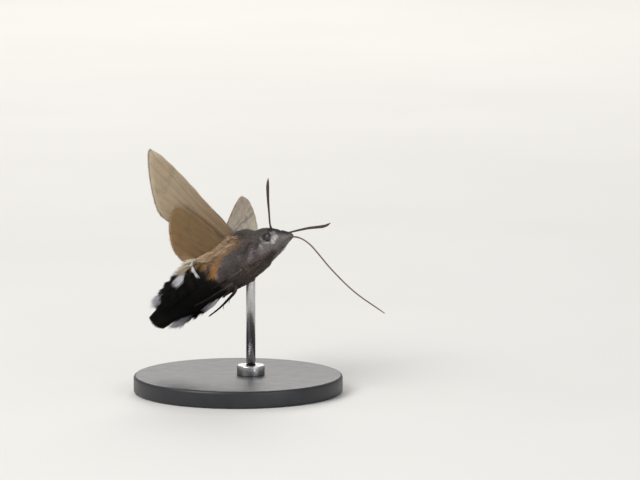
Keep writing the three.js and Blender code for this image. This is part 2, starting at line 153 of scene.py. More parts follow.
def mixed(tree, share, first, second, how="MIX"):
    """One colour mixed into another by a share."""
    made = wire(tree, "ShaderNodeMix", {0: share}, data_type="RGBA", blend_type=how)
    for socket, value in ((6, first), (7, second)):
        if isinstance(value, bpy.types.NodeSocket):
            tree.links.new(value, made.inputs[socket])
        else:
            made.inputs[socket].default_value = (*value, 1.0)
    return made.outputs[2]


def mottle(tree, shader, grain, first, second, share=(0.0, 1.0)):
    """Colours a shader from first to second by noise; grain is its scale, detail and roughness."""
    speckle = noise(tree, in_millimetres(tree), *grain)
    tree.links.new(mixed(tree, between(tree, speckle, *share), first, second), shader.inputs["Base Color"])
    return speckle


def bump(tree, shader, height, depth, strength=1.0):
    """Feeds a height between 0 and 1, depth millimetres high, into the shader's normal."""
    feeds = {"Strength": strength, "Distance": depth * MM, "Height": height}
    tree.links.new(wire(tree, "ShaderNodeBump", feeds).outputs[0], shader.inputs["Normal"])


def paint(code):
    """A colour code such as 8f6a3c as the linear colour of a surface."""
    values = np.array([int(code[i:i + 2], 16) / 255 for i in (0, 2, 4)])
    return np.where(values <= 0.04045, values / 12.92, ((values + 0.055) / 1.055) ** 2.4)


black_paint, tree, shader = finish("satin_black_paint", Specular_IOR_Level=0.45)
dust = mottle(tree, shader, (0.35, 4.0), (0.014, 0.015, 0.018), (0.022, 0.023, 0.026))
tree.links.new(between(tree, dust, 0.36, 0.46), shader.inputs["Roughness"])
bump(tree, shader, noise(tree, in_millimetres(tree), 3.2, 2.0), 0.012)

flat_radius = PLATE_RADIUS - PLATE_EDGE
plate_profile = [(0, 0), (flat_radius - PLATE_RIM, 0)]
plate_profile += arc((flat_radius, PLATE_EDGE), PLATE_EDGE, -90, 0)
plate_profile += arc((flat_radius, PLATE_HEIGHT - PLATE_EDGE), PLATE_EDGE, 0, 90)
plate_profile += [(flat_radius - PLATE_RIM, PLATE_HEIGHT), (0, PLATE_HEIGHT)]
plate = mesh_piece("stand_plate", *turned(plate_profile, PLATE_SIDES), [black_paint])
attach(plate, "root")
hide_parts("stand_base")


# Collar, set screw and rod
# A turned steel collar sits on the plate and grips the rod with one small socket screw.
# The rod is ground steel bar; its upper end is let into the underside of the thorax.
ROD_AT = (2.1, 0.6)
ROD_RADIUS = 0.8
# The rod's foot is let a little way into the plate
ROD_FOOT = 2.9
ROD_TOP = 20.4
ROD_ROUND = 0.3
ROD_EASE = 0.06
ROD_SIDES = 48
COLLAR_RADIUS = 2.4
COLLAR_FOOT = 3.0
COLLAR_HEIGHT = 1.7
COLLAR_EDGE = 0.22
COLLAR_FOOT_EDGE = 0.1
BORE_EDGE = 0.12
COLLAR_SIDES = 72
SCREW_RADIUS = 0.42
SCREW_CHAMFER = 0.08
SCREW_LENGTH = 1.0
SCREW_SIDES = 24
SCREW_HEIGHT = 3.8
SCREW_TURN = -50.0
# How far the screw stands out of the collar
SCREW_PROUD = 0.06
SOCKET_RADIUS = 0.2
SOCKET_MOUTH = SOCKET_RADIUS * 1.15
SOCKET_LIP = 0.05
SOCKET_DEPTH = 0.5


def steel(name, stretch, low, high):
    """Bare steel with fine tool marks along or around the bar."""
    material, tree, shader = finish(name, Metallic=1.0)
    mottle(tree, shader, (0.7, 3.0), (0.46, 0.455, 0.45), (0.56, 0.56, 0.565))
    marks = noise(tree, in_millimetres(tree, stretch), 1.0, 2.0, 0.6)
    tree.links.new(between(tree, marks, low, high), shader.inputs["Roughness"])
    bump(tree, shader, marks, 0.006)
    return material


ground_steel = steel("ground_steel", (1.2, 1.2, 22.0), 0.2, 0.34)
turned_steel = steel("turned_steel", (0.8, 0.8, 30.0), 0.22, 0.38)

rod_profile = [(0, ROD_FOOT), (ROD_RADIUS, ROD_FOOT), (ROD_RADIUS, ROD_TOP - ROD_ROUND)]
rod_profile += arc((ROD_RADIUS - ROD_ROUND, ROD_TOP - ROD_ROUND), ROD_ROUND, 15, 90) + [(0, ROD_TOP)]
rod = mesh_piece("stand_pin", *turned(rod_profile, ROD_SIDES, (*ROD_AT, 0)), [ground_steel])
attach(rod, "root")
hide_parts("stand_rod")

bore = ROD_RADIUS + ROD_EASE
collar_top = COLLAR_FOOT + COLLAR_HEIGHT
foot_edge = (COLLAR_RADIUS - COLLAR_FOOT_EDGE, COLLAR_FOOT + COLLAR_FOOT_EDGE)
collar_profile = [(bore, COLLAR_FOOT)] + arc(foot_edge, COLLAR_FOOT_EDGE, -90, 0, 3)
collar_profile += arc((COLLAR_RADIUS - COLLAR_EDGE, collar_top - COLLAR_EDGE), COLLAR_EDGE, 0, 90)
collar_profile += arc((bore + BORE_EDGE, collar_top - BORE_EDGE), BORE_EDGE, 90, 180, 4)
collar = mesh_piece("stand_collar_turned", *turned(collar_profile, COLLAR_SIDES, (*ROD_AT, 0), ring=True),
                    [turned_steel])
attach(collar, "root")
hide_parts("stand_collar")

screw_profile = [(0, 0), (SCREW_RADIUS, 0), (SCREW_RADIUS, SCREW_LENGTH - SCREW_CHAMFER),
                 (SCREW_RADIUS - SCREW_CHAMFER, SCREW_LENGTH), (SOCKET_MOUTH, SCREW_LENGTH),
                 (SOCKET_RADIUS, SCREW_LENGTH - SOCKET_LIP), (SOCKET_RADIUS, SCREW_LENGTH - SOCKET_DEPTH),
                 (0, SCREW_LENGTH - SOCKET_DEPTH)]
screw_points, screw_faces = turned(screw_profile, SCREW_SIDES)
# the socket's rings are drawn in to a hexagon
in_socket = np.hypot(screw_points[:, 0], screw_points[:, 1]) < (SOCKET_MOUTH + SOCKET_LIP) * MM
screw_turns = np.arctan2(screw_points[:, 1], screw_points[:, 0])
hexagon = np.cos(np.pi / 6) / np.cos((screw_turns % (np.pi / 3)) - np.pi / 6)
screw_points[in_socket, :2] *= hexagon[in_socket, None]
outwards = Matrix.Rotation(math.radians(SCREW_TURN), 4, "Z") @ Matrix.Rotation(math.pi / 2, 4, "Y")
screw_start = Vector((*ROD_AT, SCREW_HEIGHT)) * MM
screw_reach = (COLLAR_RADIUS - SCREW_LENGTH + SCREW_PROUD) * MM
screw_points = np.array([
    screw_start + outwards @ (Vector(p) + Vector((0, 0, screw_reach))) for p in screw_points
])
screw = mesh_piece("stand_set_screw", screw_points, screw_faces, [turned_steel], smooth=False)
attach(screw, "root")


# Body skin
# One closed skin under the coat, from the end of the tail to the tip of the two palps.
# In life it is thin brown chitin in rings; here one loft carries the same marks as the coat over it.
PITCH = math.radians(33.8)
BANK = math.radians(40.0)
TAIL_AT = np.array([-14.5, -1.8, 11.2])
# Stations of the coated trunk: x, height of the middle line, half width, half height over and under it
TRUNK = np.array([
    (0.0, 0.15, 0.9, 0.45, 0.45), (2.0, 0.65, 1.5, 1.0, 1.0), (4.5, 1.1, 2.65, 2.15, 2.2),
    (7.0, 1.5, 3.65, 3.05, 3.1), (10.0, 1.85, 4.05, 3.55, 3.55), (13.0, 1.98, 4.0, 3.75, 3.7),
    (16.0, 2.0, 4.0, 3.9, 4.05), (19.0, 2.0, 4.25, 4.1, 4.35), (21.5, 1.95, 4.1, 4.1, 4.05),
    (23.2, 1.8, 3.55, 3.7, 3.75), (24.4, 1.62, 2.95, 3.2, 3.3), (25.8, 1.42, 2.72, 2.85, 2.55),
    (27.2, 1.1, 2.22, 2.15, 1.85), (28.4, 0.7, 1.48, 1.5, 1.25), (29.3, 0.32, 0.9, 0.9, 0.75),
    (30.0, 0.0, 0.35, 0.3, 0.35),
])
# Depth of the coat over the skin along the trunk
COAT_AT = (1.6, 4.0, 6.0, 15.0, 17.0, 23.0, 25.0, 27.0, 28.6, 30.0)
COAT_DEPTH = (0.45, 0.5, 0.4, 0.4, 0.55, 0.52, 0.36, 0.28, 0.2, 0.1)
# Hind edge of each ring of the abdomen, where its side tufts stand, and the waist before the first ring
RING_EDGES = (15.0, 13.2, 11.5, 9.8, 8.1, 6.5, 5.1)
WAIST_X = 16.6
RING_STEP = 0.14
# Neck and the crease behind the beak: x and spread of each, and how deep it is drawn in
NECK = (24.5, 0.35)
NECK_DEPTH = 0.16
BEAK_CREASE = (28.1, 0.2)
CREASE_DEPTH = 0.2
# The seam between the palps: the x it deepens over, and its depth below and above as shares of the radius
PALP_SEAM_X = (26.4, 28.6)
SEAM_BELOW = 0.2
SEAM_ABOVE = 0.16
EYE_RADIUS = 0.71
EYE_AT = np.array([26.3, 1.88, 0.8])
# The brow round each eye: its distance from the eye's middle, its spread and its height
BROW = (1.02, 0.14)
BROW_RISE = 0.07
SKIN_START = 1.8
SKIN_END = 29.92
# How far the end points stand past the first and the last ring
TAIL_CAP = 0.25
BEAK_CAP = 0.05
SKIN_RINGS = 260
SKIN_SIDES = 120
# The skin is darker than the coat it shows through: painted shade deep under the coat
SKIN_PAINTED_SHADE = 0.55


def placed(points):
    """Points of the moth's own frame, in millimetres, as the row's metres."""
    x, y, z = np.moveaxis(np.asarray(points, float), -1, 0)
    cos_b, sin_b = math.cos(-BANK), math.sin(-BANK)
    y, z = cos_b * y - sin_b * z, sin_b * y + cos_b * z
    cos_p, sin_p = math.cos(-PITCH), math.sin(-PITCH)
    x, z = cos_p * x + sin_p * z, -sin_p * x + cos_p * z
    return (np.stack([x, y, z], -1) + TAIL_AT) * MM


def ramp(value, low, high):
    """0 before low, 1 past high, and smooth between."""
    t = np.clip((np.asarray(value, float) - low) / (high - low), 0, 1)
    return t * t * (3 - 2 * t)


def bell(value, centre, spread):
    """1 at the centre, falling softly to 0 about two spreads away."""
    return np.exp(-(((np.asarray(value, float) - centre) / spread) ** 2))


def unit(vectors):
    """Vectors scaled to a length of 1."""
    return vectors / np.linalg.norm(vectors, axis=-1, keepdims=True)


def eased(t, start, slope0, end, slope1):
    """A smooth way from start to end with a slope at each, at shares t of it."""
    return ((2 * t**3 - 3 * t**2 + 1) * start + (t**3 - 2 * t**2 + t) * slope0
            + (3 * t**2 - 2 * t**3) * end + (t**3 - t**2) * slope1)


def station(x):
    """Middle height, half width and half heights of the trunk at x, on smooth curves."""
    at = TRUNK[:, 0]
    i = np.clip(np.searchsorted(at, x, side="right") - 1, 0, len(at) - 2)
    before, after = np.maximum(i - 1, 0), np.minimum(i + 2, len(at) - 1)
    width = at[i + 1] - at[i]
    t = np.clip((x - at[i]) / width, 0, 1)[:, None]
    v0, v1 = TRUNK[i, 1:], TRUNK[i + 1, 1:]
    slope0 = (v1 - TRUNK[before, 1:]) / (at[i + 1] - at[before])[:, None] * width[:, None]
    slope1 = (TRUNK[after, 1:] - v0) / (at[after] - at[i])[:, None] * width[:, None]
    return eased(t, v0, slope0, v1, slope1).T


def palp_seam(x, angle):
    """How far the outline is drawn in along the seam between the two palps, as a share of the radius."""
    below = SEAM_BELOW * bell(angle, 1.5 * np.pi, 0.34)
    return ramp(x, *PALP_SEAM_X) * (below + SEAM_ABOVE * bell(angle, 0.5 * np.pi, 0.3))


def trunk(x, angle, grow=0.0):
    """A point of the coated trunk at x, turned by angle from its left side towards its back."""
    x, angle = np.broadcast_arrays(np.asarray(x, float), np.asarray(angle, float) % (2 * np.pi))
    flat_x, flat_angle = x.ravel(), angle.ravel()
    middle, width, over, under = station(flat_x)
    grow = np.broadcast_to(grow, x.shape).ravel()
    rise = np.where(np.sin(flat_angle) > 0, over, under)
    keep = 1 - palp_seam(flat_x, flat_angle)
    y = (width * keep + grow) * np.cos(flat_angle)
    z = middle + (rise * keep + grow) * np.sin(flat_angle)
    return np.stack([flat_x, y, z], -1).reshape(*x.shape, 3)


def sink(x, angle):
    """Depth of the skin under the coated trunk, with rings, neck and the crease behind the beak."""
    depth = np.interp(x, COAT_AT, COAT_DEPTH)
    edges = np.array(RING_EDGES[::-1] + (WAIST_X,))
    ring = np.clip(np.searchsorted(edges, x) - 1, 0, len(edges) - 2)
    share = np.clip((x - edges[ring]) / (edges[ring + 1] - edges[ring]), 0, 1)
    inside = (x > edges[0]) & (x < edges[-1])
    depth = depth + np.where(inside, RING_STEP * share * (1 - bell(share, 0, 0.08)), 0)
    depth = depth + NECK_DEPTH * bell(x, *NECK)
    return depth + CREASE_DEPTH * bell(x, *BEAK_CREASE) * ramp(np.sin(angle), -0.2, 0.5)


def surface(x, angle, grow=0.0):
    """Points of the trunk with unit vectors to the rear, down towards the belly, and straight out."""
    small = 0.02
    here = trunk(x, angle, grow)
    back = unit(trunk(x - small, angle, grow) - trunk(x + small, angle, grow))
    turn = unit(trunk(x, angle + small, grow) - trunk(x, angle - small, grow))
    out = unit(np.cross(back, turn))
    down = turn * np.where(np.cos(angle) > 0, -1.0, 1.0)[..., None]
    return here, back, down, out


def fold_of(angle):
    """Degrees from the back (0) over either flank (90) to the belly (180)."""
    return np.degrees(np.arctan2(np.abs(np.cos(angle)), np.sin(angle)))


def eye_gap(points):
    """Distance from the middle of the nearer eye."""
    mirrored = points * (1, 0, 1) + np.abs(points) * (0, 1, 0)
    return np.linalg.norm(mirrored - EYE_AT, axis=-1)


# Colours of the coat
OLIVE_BACK = paint("4b453e")
MAUVE_FLANK = paint("5c5250")
LOW_FLANK = paint("665850")
# Painted shade along the belly
BELLY_SHADE = paint("2f2824")
# Dark streaks of the coat, and painted shadow under the neck
DARK_STREAK_AND_SHADOW = paint("332a29")
OLIVE_PATCH = paint("5d5140")
LILAC = paint("8f8488")
PALE_CHEEK = paint("8d8684")
WHITE_FACE = paint("ece8e5")
SLATE_BEAK = paint("302e32")
GREY_PALP = paint("8f8a88")
OCHRE = paint("987448")
BRIGHT_OCHRE = paint("aa7b42")
ROSY_EDGE = paint("b39a8c")
BROWN_LOIN = paint("2f261f")
SOOT = paint("0d0b08")
BLACK = paint("080706")
# Streaks and patches of the coat on either side, and one painted shadow under the neck: x and degrees from
# the back at both ends of each, half its width in millimetres, its colour and how fully it covers what is
# under it
COAT_MARKS = (
    (21.6, 90, 17.6, 98, 0.75, OCHRE, 0.95), (17.4, 84, 13.6, 70, 0.8, OCHRE, 0.75),
    (17.6, 90, 16.2, 112, 0.7, OCHRE, 0.9), (15.6, 98, 13.9, 96, 0.8, OCHRE, 0.6),
    (16.2, 108, 14.8, 132, 0.62, BRIGHT_OCHRE, 0.95), (15.0, 90, 14.6, 112, 0.16, BROWN_LOIN, 0.5),
    (15.2, 138, 14.9, 143, 0.28, ROSY_EDGE, 0.6), (17.1, 128, 16.3, 138, 0.3, MAUVE_FLANK, 0.6),
    (18.9, 97, 17.0, 108, 0.5, OCHRE, 0.5), (20.6, 56, 18.0, 70, 0.75, OCHRE, 0.5),
    (13.9, 62, 12.3, 82, 0.55, OCHRE, 0.85), (20.8, 131, 16.0, 150, 1.15, DARK_STREAK_AND_SHADOW, 0.45),
    (19.4, 124, 17.4, 122, 0.5, PALE_CHEEK, 0.1), (19.9, 141, 18.7, 153, 0.3, DARK_STREAK_AND_SHADOW, 0.8),
    (17.2, 139, 16.5, 155, 0.3, DARK_STREAK_AND_SHADOW, 0.8), (20.7, 124, 20.4, 141, 0.2, GREY_PALP, 0.45),
    (22.6, 80, 21.9, 90, 0.6, OLIVE_PATCH, 0.7), (23.4, 106, 22.0, 123, 0.32, DARK_STREAK_AND_SHADOW, 0.85),
    (21.3, 112, 20.9, 122, 0.25, DARK_STREAK_AND_SHADOW, 0.5), (23.3, 129, 22.3, 146, 0.34, LILAC, 0.85),
    (22.2, 140, 21.4, 153, 0.22, PALE_CHEEK, 0.6), (24.3, 112, 23.3, 138, 0.22, DARK_STREAK_AND_SHADOW, 0.7),
    (24.6, 140, 25.9, 150, 0.85, PALE_CHEEK, 0.85), (24.9, 122, 25.6, 132, 0.4, PALE_CHEEK, 0.7),
    (24.7, 119, 24.65, 138, 0.13, WHITE_FACE, 0.45), (25.45, 98, 25.5, 116, 0.1, WHITE_FACE, 0.22),
    (25.4, 120, 26.5, 135, 0.14, WHITE_FACE, 0.5), (27.9, 54, 27.6, 84, 0.34, PALE_CHEEK, 0.6),
    (27.45, 84, 27.6, 108, 0.28, WHITE_FACE, 0.3), (27.55, 116, 26.75, 142, 0.33, WHITE_FACE, 1.0),
    (28.0, 52, 29.2, 84, 0.62, SLATE_BEAK, 0.9), (29.3, 80, 29.6, 128, 0.35, SLATE_BEAK, 0.6),
    (28.4, 108, 27.9, 135, 0.28, SLATE_BEAK, 0.4), (29.0, 142, 26.6, 168, 0.65, PALE_CHEEK, 0.85),
    (27.1, 46, 26.9, 84, 0.18, DARK_STREAK_AND_SHADOW, 0.85), (27.0, 62, 25.6, 76, 0.4, DARK_STREAK_AND_SHADOW, 0.4),
    # painted shadow under the neck, between the palps and the breast
    (25.6, 172, 24.4, 174, 0.45, DARK_STREAK_AND_SHADOW, 0.6),
)


def coat_colour(x, angle):
    """The coat's markings at a place on the trunk, with painted shade on the belly and under the neck."""
    fold = fold_of(angle)
    girth = np.interp(x, TRUNK[:, 0], TRUNK[:, 1:].mean(1) * 1.2 + 0.4)
    colour = np.broadcast_to(MAUVE_FLANK, (*x.shape, 3)).copy()

    def lay(tint, share):
        colour[...] += (tint - colour) * np.clip(share, 0, 1)[..., None]

    lay(OLIVE_BACK, 1 - ramp(fold, 50, 90))
    lay(LOW_FLANK, ramp(fold, 128, 160))
    # painted shade: the coat darkens towards the belly's middle line
    lay(BELLY_SHADE, ramp(fold, 158, 178) * 0.4)
    lay(GREY_PALP, ramp(x, 27.2, 28.2) * ramp(fold, 85, 115) * (1 - 0.4 * ramp(fold, 155, 178)))
    # abdomen: grey-brown back, brown loin, black rings behind
    lay(BROWN_LOIN, 1 - ramp(x + 0.012 * (110 - fold), 13.6, 15.0))
    lay(SOOT, 1 - ramp(x + 0.02 * (110 - fold), 11.9, 14.2))
    lay(BLACK, 1 - ramp(x, 8.5, 11.0))
    lay(PALE_CHEEK, 0.35 * (1 - ramp(fold, 30, 60)) * bell(x, 13.6, 1.2))
    arc_mm = np.radians(girth)
    for x0, fold0, x1, fold1, spread, tint, share in COAT_MARKS:
        run = np.stack([np.full_like(girth, x1 - x0), (fold1 - fold0) * arc_mm])
        gone = np.stack([x - x0, (fold - fold0) * arc_mm])
        along = np.clip((run * gone).sum(0) / (run * run).sum(0), 0, 1)
        away = np.hypot(gone[0] - run[0] * along, gone[1] - run[1] * along)
        lay(tint, share * (1 - ramp(away, spread * 0.4, spread * 1.75)))
    return colour


def spot_of(points):
    """The place on the trunk, as x and angle, that points near it stand over."""
    x = np.clip(points[:, 0], 0.05, 29.95)
    middle, width, over, under = station(x)
    height = points[:, 2] - middle
    return x, np.arctan2(height / np.where(height > 0, over, under), points[:, 1] / width)


rings = np.linspace(SKIN_START, SKIN_END, SKIN_RINGS)
turns = np.linspace(0, 2 * np.pi, SKIN_SIDES, endpoint=False)
skin_x, skin_angle = np.meshgrid(rings, turns, indexing="ij")
skin_grid = trunk(skin_x, skin_angle, -sink(skin_x, skin_angle))
brow = bell(eye_gap(skin_grid), *BROW) * BROW_RISE
skin_grid = trunk(skin_x, skin_angle, brow - sink(skin_x, skin_angle))
ends = np.stack([skin_grid[0].mean(0) - (TAIL_CAP, 0, 0), skin_grid[-1].mean(0) + (BEAK_CAP, 0, 0)])
skin_points = np.concatenate([skin_grid.reshape(-1, 3), ends])
skin_tint = coat_colour(skin_x, skin_angle).reshape(-1, 3)
# the coat's marks, darkened as painted shade under the coat
skin_tint = np.concatenate([skin_tint, skin_tint[[0]], skin_tint[[-1]]]) * SKIN_PAINTED_SHADE


def tint_points(piece, colours):
    """Stores one colour a point, which the material reads as tint."""
    tint = piece.data.attributes.new("tint", "FLOAT_COLOR", "POINT")
    rgba = np.concatenate([colours, np.ones((len(colours), 1))], 1)
    tint.data.foreach_set("color", rgba.astype(np.float32).ravel())


def read_tint(tree):
    """The stored colour of a piece's points."""
    return wire(tree, "ShaderNodeAttribute", {}, attribute_name="tint").outputs["Color"]


skin_finish, tree, shader = finish("velvet_skin", Roughness=0.85, Specular_IOR_Level=0.2)
nap = mottle(tree, shader, (7.0, 4.0, 0.65), read_tint(tree), (0.0, 0.0, 0.0), (0.55, 0.0))
bump(tree, shader, nap, 0.12)
skin = mesh_piece("body_skin", placed(skin_points), tube_faces(SKIN_RINGS, SKIN_SIDES), [skin_finish])
tint_points(skin, skin_tint)
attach(skin, "root")
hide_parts("head", "thorax", "abdomen", "tail_fan")


# Coat of the thorax, head and abdomen
# Flat, pointed hair scales rooted all over the skin. They lie to the rear, turn down over the face
# and run forwards on the palps, and are long on the thorax, short on the face.
LOCK_SHARES = (0.0, 0.36, 0.72)
LOCK_GIRTHS = (0.62, 1.0, 0.74)
# Share of the crest's height that it loses on its way to the tip
CREST_TAPER = 0.4
LOCK_POINTS = 10
# Points of a lock: left, right and crest of three sections, then the tip
LOCK_SIDES = ((0, 1), (1, 2), (2, 0))
LOCK_QUADS = np.array([(s + a, s + a + 3, s + b + 3, s + b) for a, b in LOCK_SIDES for s in (0, 3)])
LOCK_FANS = np.array([(0, 1, 2), (6, 9, 7), (7, 9, 8), (8, 9, 6)])
BAKE_PATCH = 0.003
BAKE_MARGIN = 0.02
UNWRAP_LENGTH = 32.0
# Steps that strew any number of roots evenly over a strip
ROOT_STEPS = (0.7548776662466927, 0.5698402909980532)
# The coat turns about on the face: the x where that starts, how much earlier it does under the chin, and
# the length it takes
FACE_TURN_X = 26.5
CHIN_EARLIER = 0.6
FACE_TURN_LENGTH = 1.5
# Number of roots, the x they lie between, and where their sequence starts
THORAX_ROOTS = (24000, 15.6, 25.0, 0.5)
ABDOMEN_ROOTS = (23000, 3.6, 16.4, 11.5)
HEAD_ROOTS = (11500, 24.3, 29.75, 3.5)
# Length of the scales: the thorax's gain some towards its middle, the head's lose some towards the beak
THORAX_LENGTH = 1.15
THORAX_GAIN = 0.45
ABDOMEN_LENGTH = 0.85
HEAD_LENGTH = 0.78
HEAD_LOSS = 0.4
# Width and thickness of a scale, and how far its lie strays in radians
THORAX_SCALE = (0.17, 0.05, 0.14)
ABDOMEN_SCALE = (0.2, 0.045, 0.12)
HEAD_SCALE = (0.115, 0.035, 0.16)
# A scale is rooted this far under the skin, and rises by this much more than the coat's depth
SCALE_ROOT = 0.04
SCALE_RISE = 0.08
# Lengths, widths and tints vary between these shares
LENGTH_RANGE = (0.78, 1.12)
WIDTH_RANGE = (0.75, 1.25)
TINT_RANGE = (0.66, 1.36)
# Shades of the marking at a scale's root and tip: the darker root is painted shade deep in the coat, the
# lighter tip painted light
ROOT_PAINTED_SHADE = 0.55
TIP_PAINTED_LIGHT = 1.12
# Tips stay this far off the eyes, and roots at most this far inside their edge
EYE_CLEARANCE = 0.03
EYE_OVERLAP = 0.02


def corner_points(piece):
    """The number of the point at each corner of a piece's faces."""
    corners = np.empty(len(piece.data.loops), np.int32)
    piece.data.loops.foreach_get("vertex_index", corners)
    return corners


def write_map(piece, name, spots):
    """Stores a map with a place for each corner."""
    layer = piece.data.uv_layers.new(name=name)
    layer.data.foreach_set("uv", spots.astype(np.float32).ravel())


def lay_locks(name, finish_used, root, along, up, size, arch, tints, bake_at):
    """One piece of many flat tapered locks. size is (length, width, thickness), arch bends each tip,
    tints are the colours at root and tip, and bake_at is each root's place on the skin's unwrap."""
    length, width, thick = [np.broadcast_to(s, len(root)) for s in size]
    along = unit(along)
    up = unit(up - along * np.sum(up * along, -1, keepdims=True))
    across = np.cross(along, up)
    points = np.empty((len(root), LOCK_POINTS, 3))
    colours = np.empty_like(points)
    flat = np.empty((len(root), LOCK_POINTS, 2))
    for k, (share, girth) in enumerate(zip(LOCK_SHARES, LOCK_GIRTHS)):
        centre = root + along * (length * share)[:, None] + arch * share**2
        half = across * (width * girth / 2)[:, None]
        points[:, 3 * k] = centre - half
        points[:, 3 * k + 1] = centre + half
        points[:, 3 * k + 2] = centre + up * (thick * (1 - CREST_TAPER * share))[:, None]
        colours[:, 3 * k:3 * k + 3] = (tints[0] + (tints[1] - tints[0]) * share)[:, None]
        flat[:, 3 * k:3 * k + 3] = [(-0.5, share - 0.5), (0.5, share - 0.5), (0, share - 0.5)]
    points[:, 9] = root + along * length[:, None] + arch
    colours[:, 9] = tints[1]
    flat[:, 9] = (0, 0.5)
    starts = (np.arange(len(root)) * LOCK_POINTS)[:, None, None]
    quads = (LOCK_QUADS[None] + starts).reshape(-1, 4)
    fans = (LOCK_FANS[None] + starts).reshape(-1, 3)
    piece = mesh_piece(name, placed(points.reshape(-1, 3)), [quads, fans], [finish_used])
    tint_points(piece, np.clip(colours.reshape(-1, 3), 0, 1))
    spots = (bake_at[:, None] + flat * BAKE_PATCH).reshape(-1, 2)
    write_map(piece, "OFBake", spots[corner_points(piece)])
    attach(piece, "root")


def unwrap(x, angle):
    """A root's place on the skin's own unwrap, with x along and the turn up."""
    shares = np.stack([x / UNWRAP_LENGTH, (angle % (2 * np.pi)) / (2 * np.pi)], -1)
    return BAKE_MARGIN + (1 - 2 * BAKE_MARGIN) * shares


def even_roots(count, start, end, shift):
    """Evenly strewn places on the trunk between two x, thinned where the trunk is thin."""
    steps = np.arange(count) + shift
    fine = np.linspace(start, end, 400)
    weight = np.cumsum(station(fine)[1])
    x = np.interp((steps * ROOT_STEPS[0]) % 1, weight / weight[-1], fine)
    return x, 2 * np.pi * ((steps * ROOT_STEPS[1]) % 1)


def lie_angle(x, angle):
    """How far the coat has turned from rearwards (0) over downwards (90) to forwards (180), in radians."""
    fold = fold_of(angle)
    start = FACE_TURN_X - CHIN_EARLIER * ramp(fold, 120, 170)
    return np.pi * ramp(x, start, start + FACE_TURN_LENGTH)


def coat_finish(name, roughness, gloss, sheen):
    """Scales and hair with a soft sheen; the colour is the stored tint with a fine grain."""
    material, tree, shader = finish(name, Roughness=roughness, Specular_IOR_Level=gloss, Sheen_Weight=sheen,
                                    Sheen_Roughness=0.4)
    mottle(tree, shader, (5.0, 2.0), read_tint(tree), (0.0, 0.0, 0.0), (0.22, 0.0))
    return material


brown_coat = coat_finish("hair_scales_brown", 0.62, 0.3, 0.12)
black_coat = coat_finish("hair_scales_black", 0.6, 0.14, 0.0)
random = np.random.default_rng(5)


def swung(first, second, turn):
    """Directions turned from the first towards the second."""
    return first * np.cos(turn)[:, None] + second * np.sin(turn)[:, None]


def varied(low, high, count):
    """A column of random factors, one for each lock."""
    return random.uniform(low, high, count)[:, None]


def body_coat(name, slot, finish_used, roots, length, width, thick, jitter):
    """Locks over a stretch of the trunk, from the skin out to the coat's full depth."""
    x, angle = roots
    count = len(x)
    depth = sink(x, angle)
    here, back, down, out = surface(x, angle, -depth - SCALE_ROOT)
    turn = lie_angle(x, angle) + random.normal(0, jitter, count)
    reach = length * random.uniform(*LENGTH_RANGE, count)
    rise = np.clip((depth + SCALE_RISE) / reach, 0.08, 0.6) * random.uniform(0.75, 1.2, count)
    along = unit(swung(back, down, turn) + out * rise[:, None])
    arch = -out * (0.16 * reach)[:, None]
    seen_at = here + along * (0.7 * reach)[:, None] + random.normal(0, 0.13, (count, 3))
    tint = coat_colour(*spot_of(seen_at))
    tint *= varied(*TINT_RANGE, count) * (1 + random.normal(0, 0.03, (count, 3)))
    tips = here + along * reach[:, None] + arch
    clear = np.minimum(eye_gap(tips), eye_gap((here + tips) / 2)) > EYE_RADIUS + EYE_CLEARANCE
    clear &= eye_gap(here) > EYE_RADIUS - EYE_OVERLAP
    sizes = (reach[clear], (width * random.uniform(*WIDTH_RANGE, count))[clear], thick)
    # darker roots and lighter tips: painted shade and painted light in the coat
    shades = ((tint * ROOT_PAINTED_SHADE)[clear], (tint * TIP_PAINTED_LIGHT)[clear])
    lay_locks(name, finish_used, here[clear], along[clear], out[clear], sizes, arch[clear], shades,
              unwrap(x, angle)[clear])


def halves(roots):
    """Parts roots into those over and those under the middle line."""
    x, angle = roots
    over = np.sin(angle) > 0
    return (x[over], angle[over]), (x[~over], angle[~over])


for half, roots in zip(("over", "under"), halves(even_roots(*THORAX_ROOTS))):
    lengths = THORAX_LENGTH + THORAX_GAIN * bell(roots[0], 20.0, 3.0)
    body_coat(f"thorax_coat_{half}", "thorax_coat", brown_coat, roots, lengths, *THORAX_SCALE)
for half, roots in zip(("over", "under"), halves(even_roots(*ABDOMEN_ROOTS))):
    body_coat(f"abdomen_coat_{half}", "abdomen_coat", black_coat, roots, ABDOMEN_LENGTH, *ABDOMEN_SCALE)
roots = even_roots(*HEAD_ROOTS)
lengths = HEAD_LENGTH - HEAD_LOSS * ramp(roots[0], 25.0, 28.2)
body_coat("head_coat", "thorax_coat", brown_coat, roots, lengths, *HEAD_SCALE)


# Side tufts of the abdomen
# Each ring has a brush of long flat scales on either flank, combed back and fanned outwards to a
# blunt edge, in the colours of the coat round it. White and cream brushes stand among them.
TUFT_LENGTH = (1.7, 2.0, 2.2, 2.5, 2.5, 2.4, 2.5)
TUFT_OUT = (0.3, 0.42, 0.58, 0.78, 0.8, 0.82, 0.8)
TUFT_COUNT = 560
# Degrees under and over the middle line that a tuft's roots spread over
TUFT_LEVELS = (-44, 40)
TUFT_ROOT = 0.4
TUFT_WIDTHS = (0.13, 0.24)
TUFT_THICK = 0.05
PALE_ROOT = 0.25
PALE_WIDTHS = (0.1, 0.19)
# How far a pale brush bulges out on its way
PALE_BULGE = 0.35
TUFT_WHITE = paint("e4e3e8")
TUFT_CREAM = paint("ded4bb")
TUFT_GREY = paint("b1aeb4")
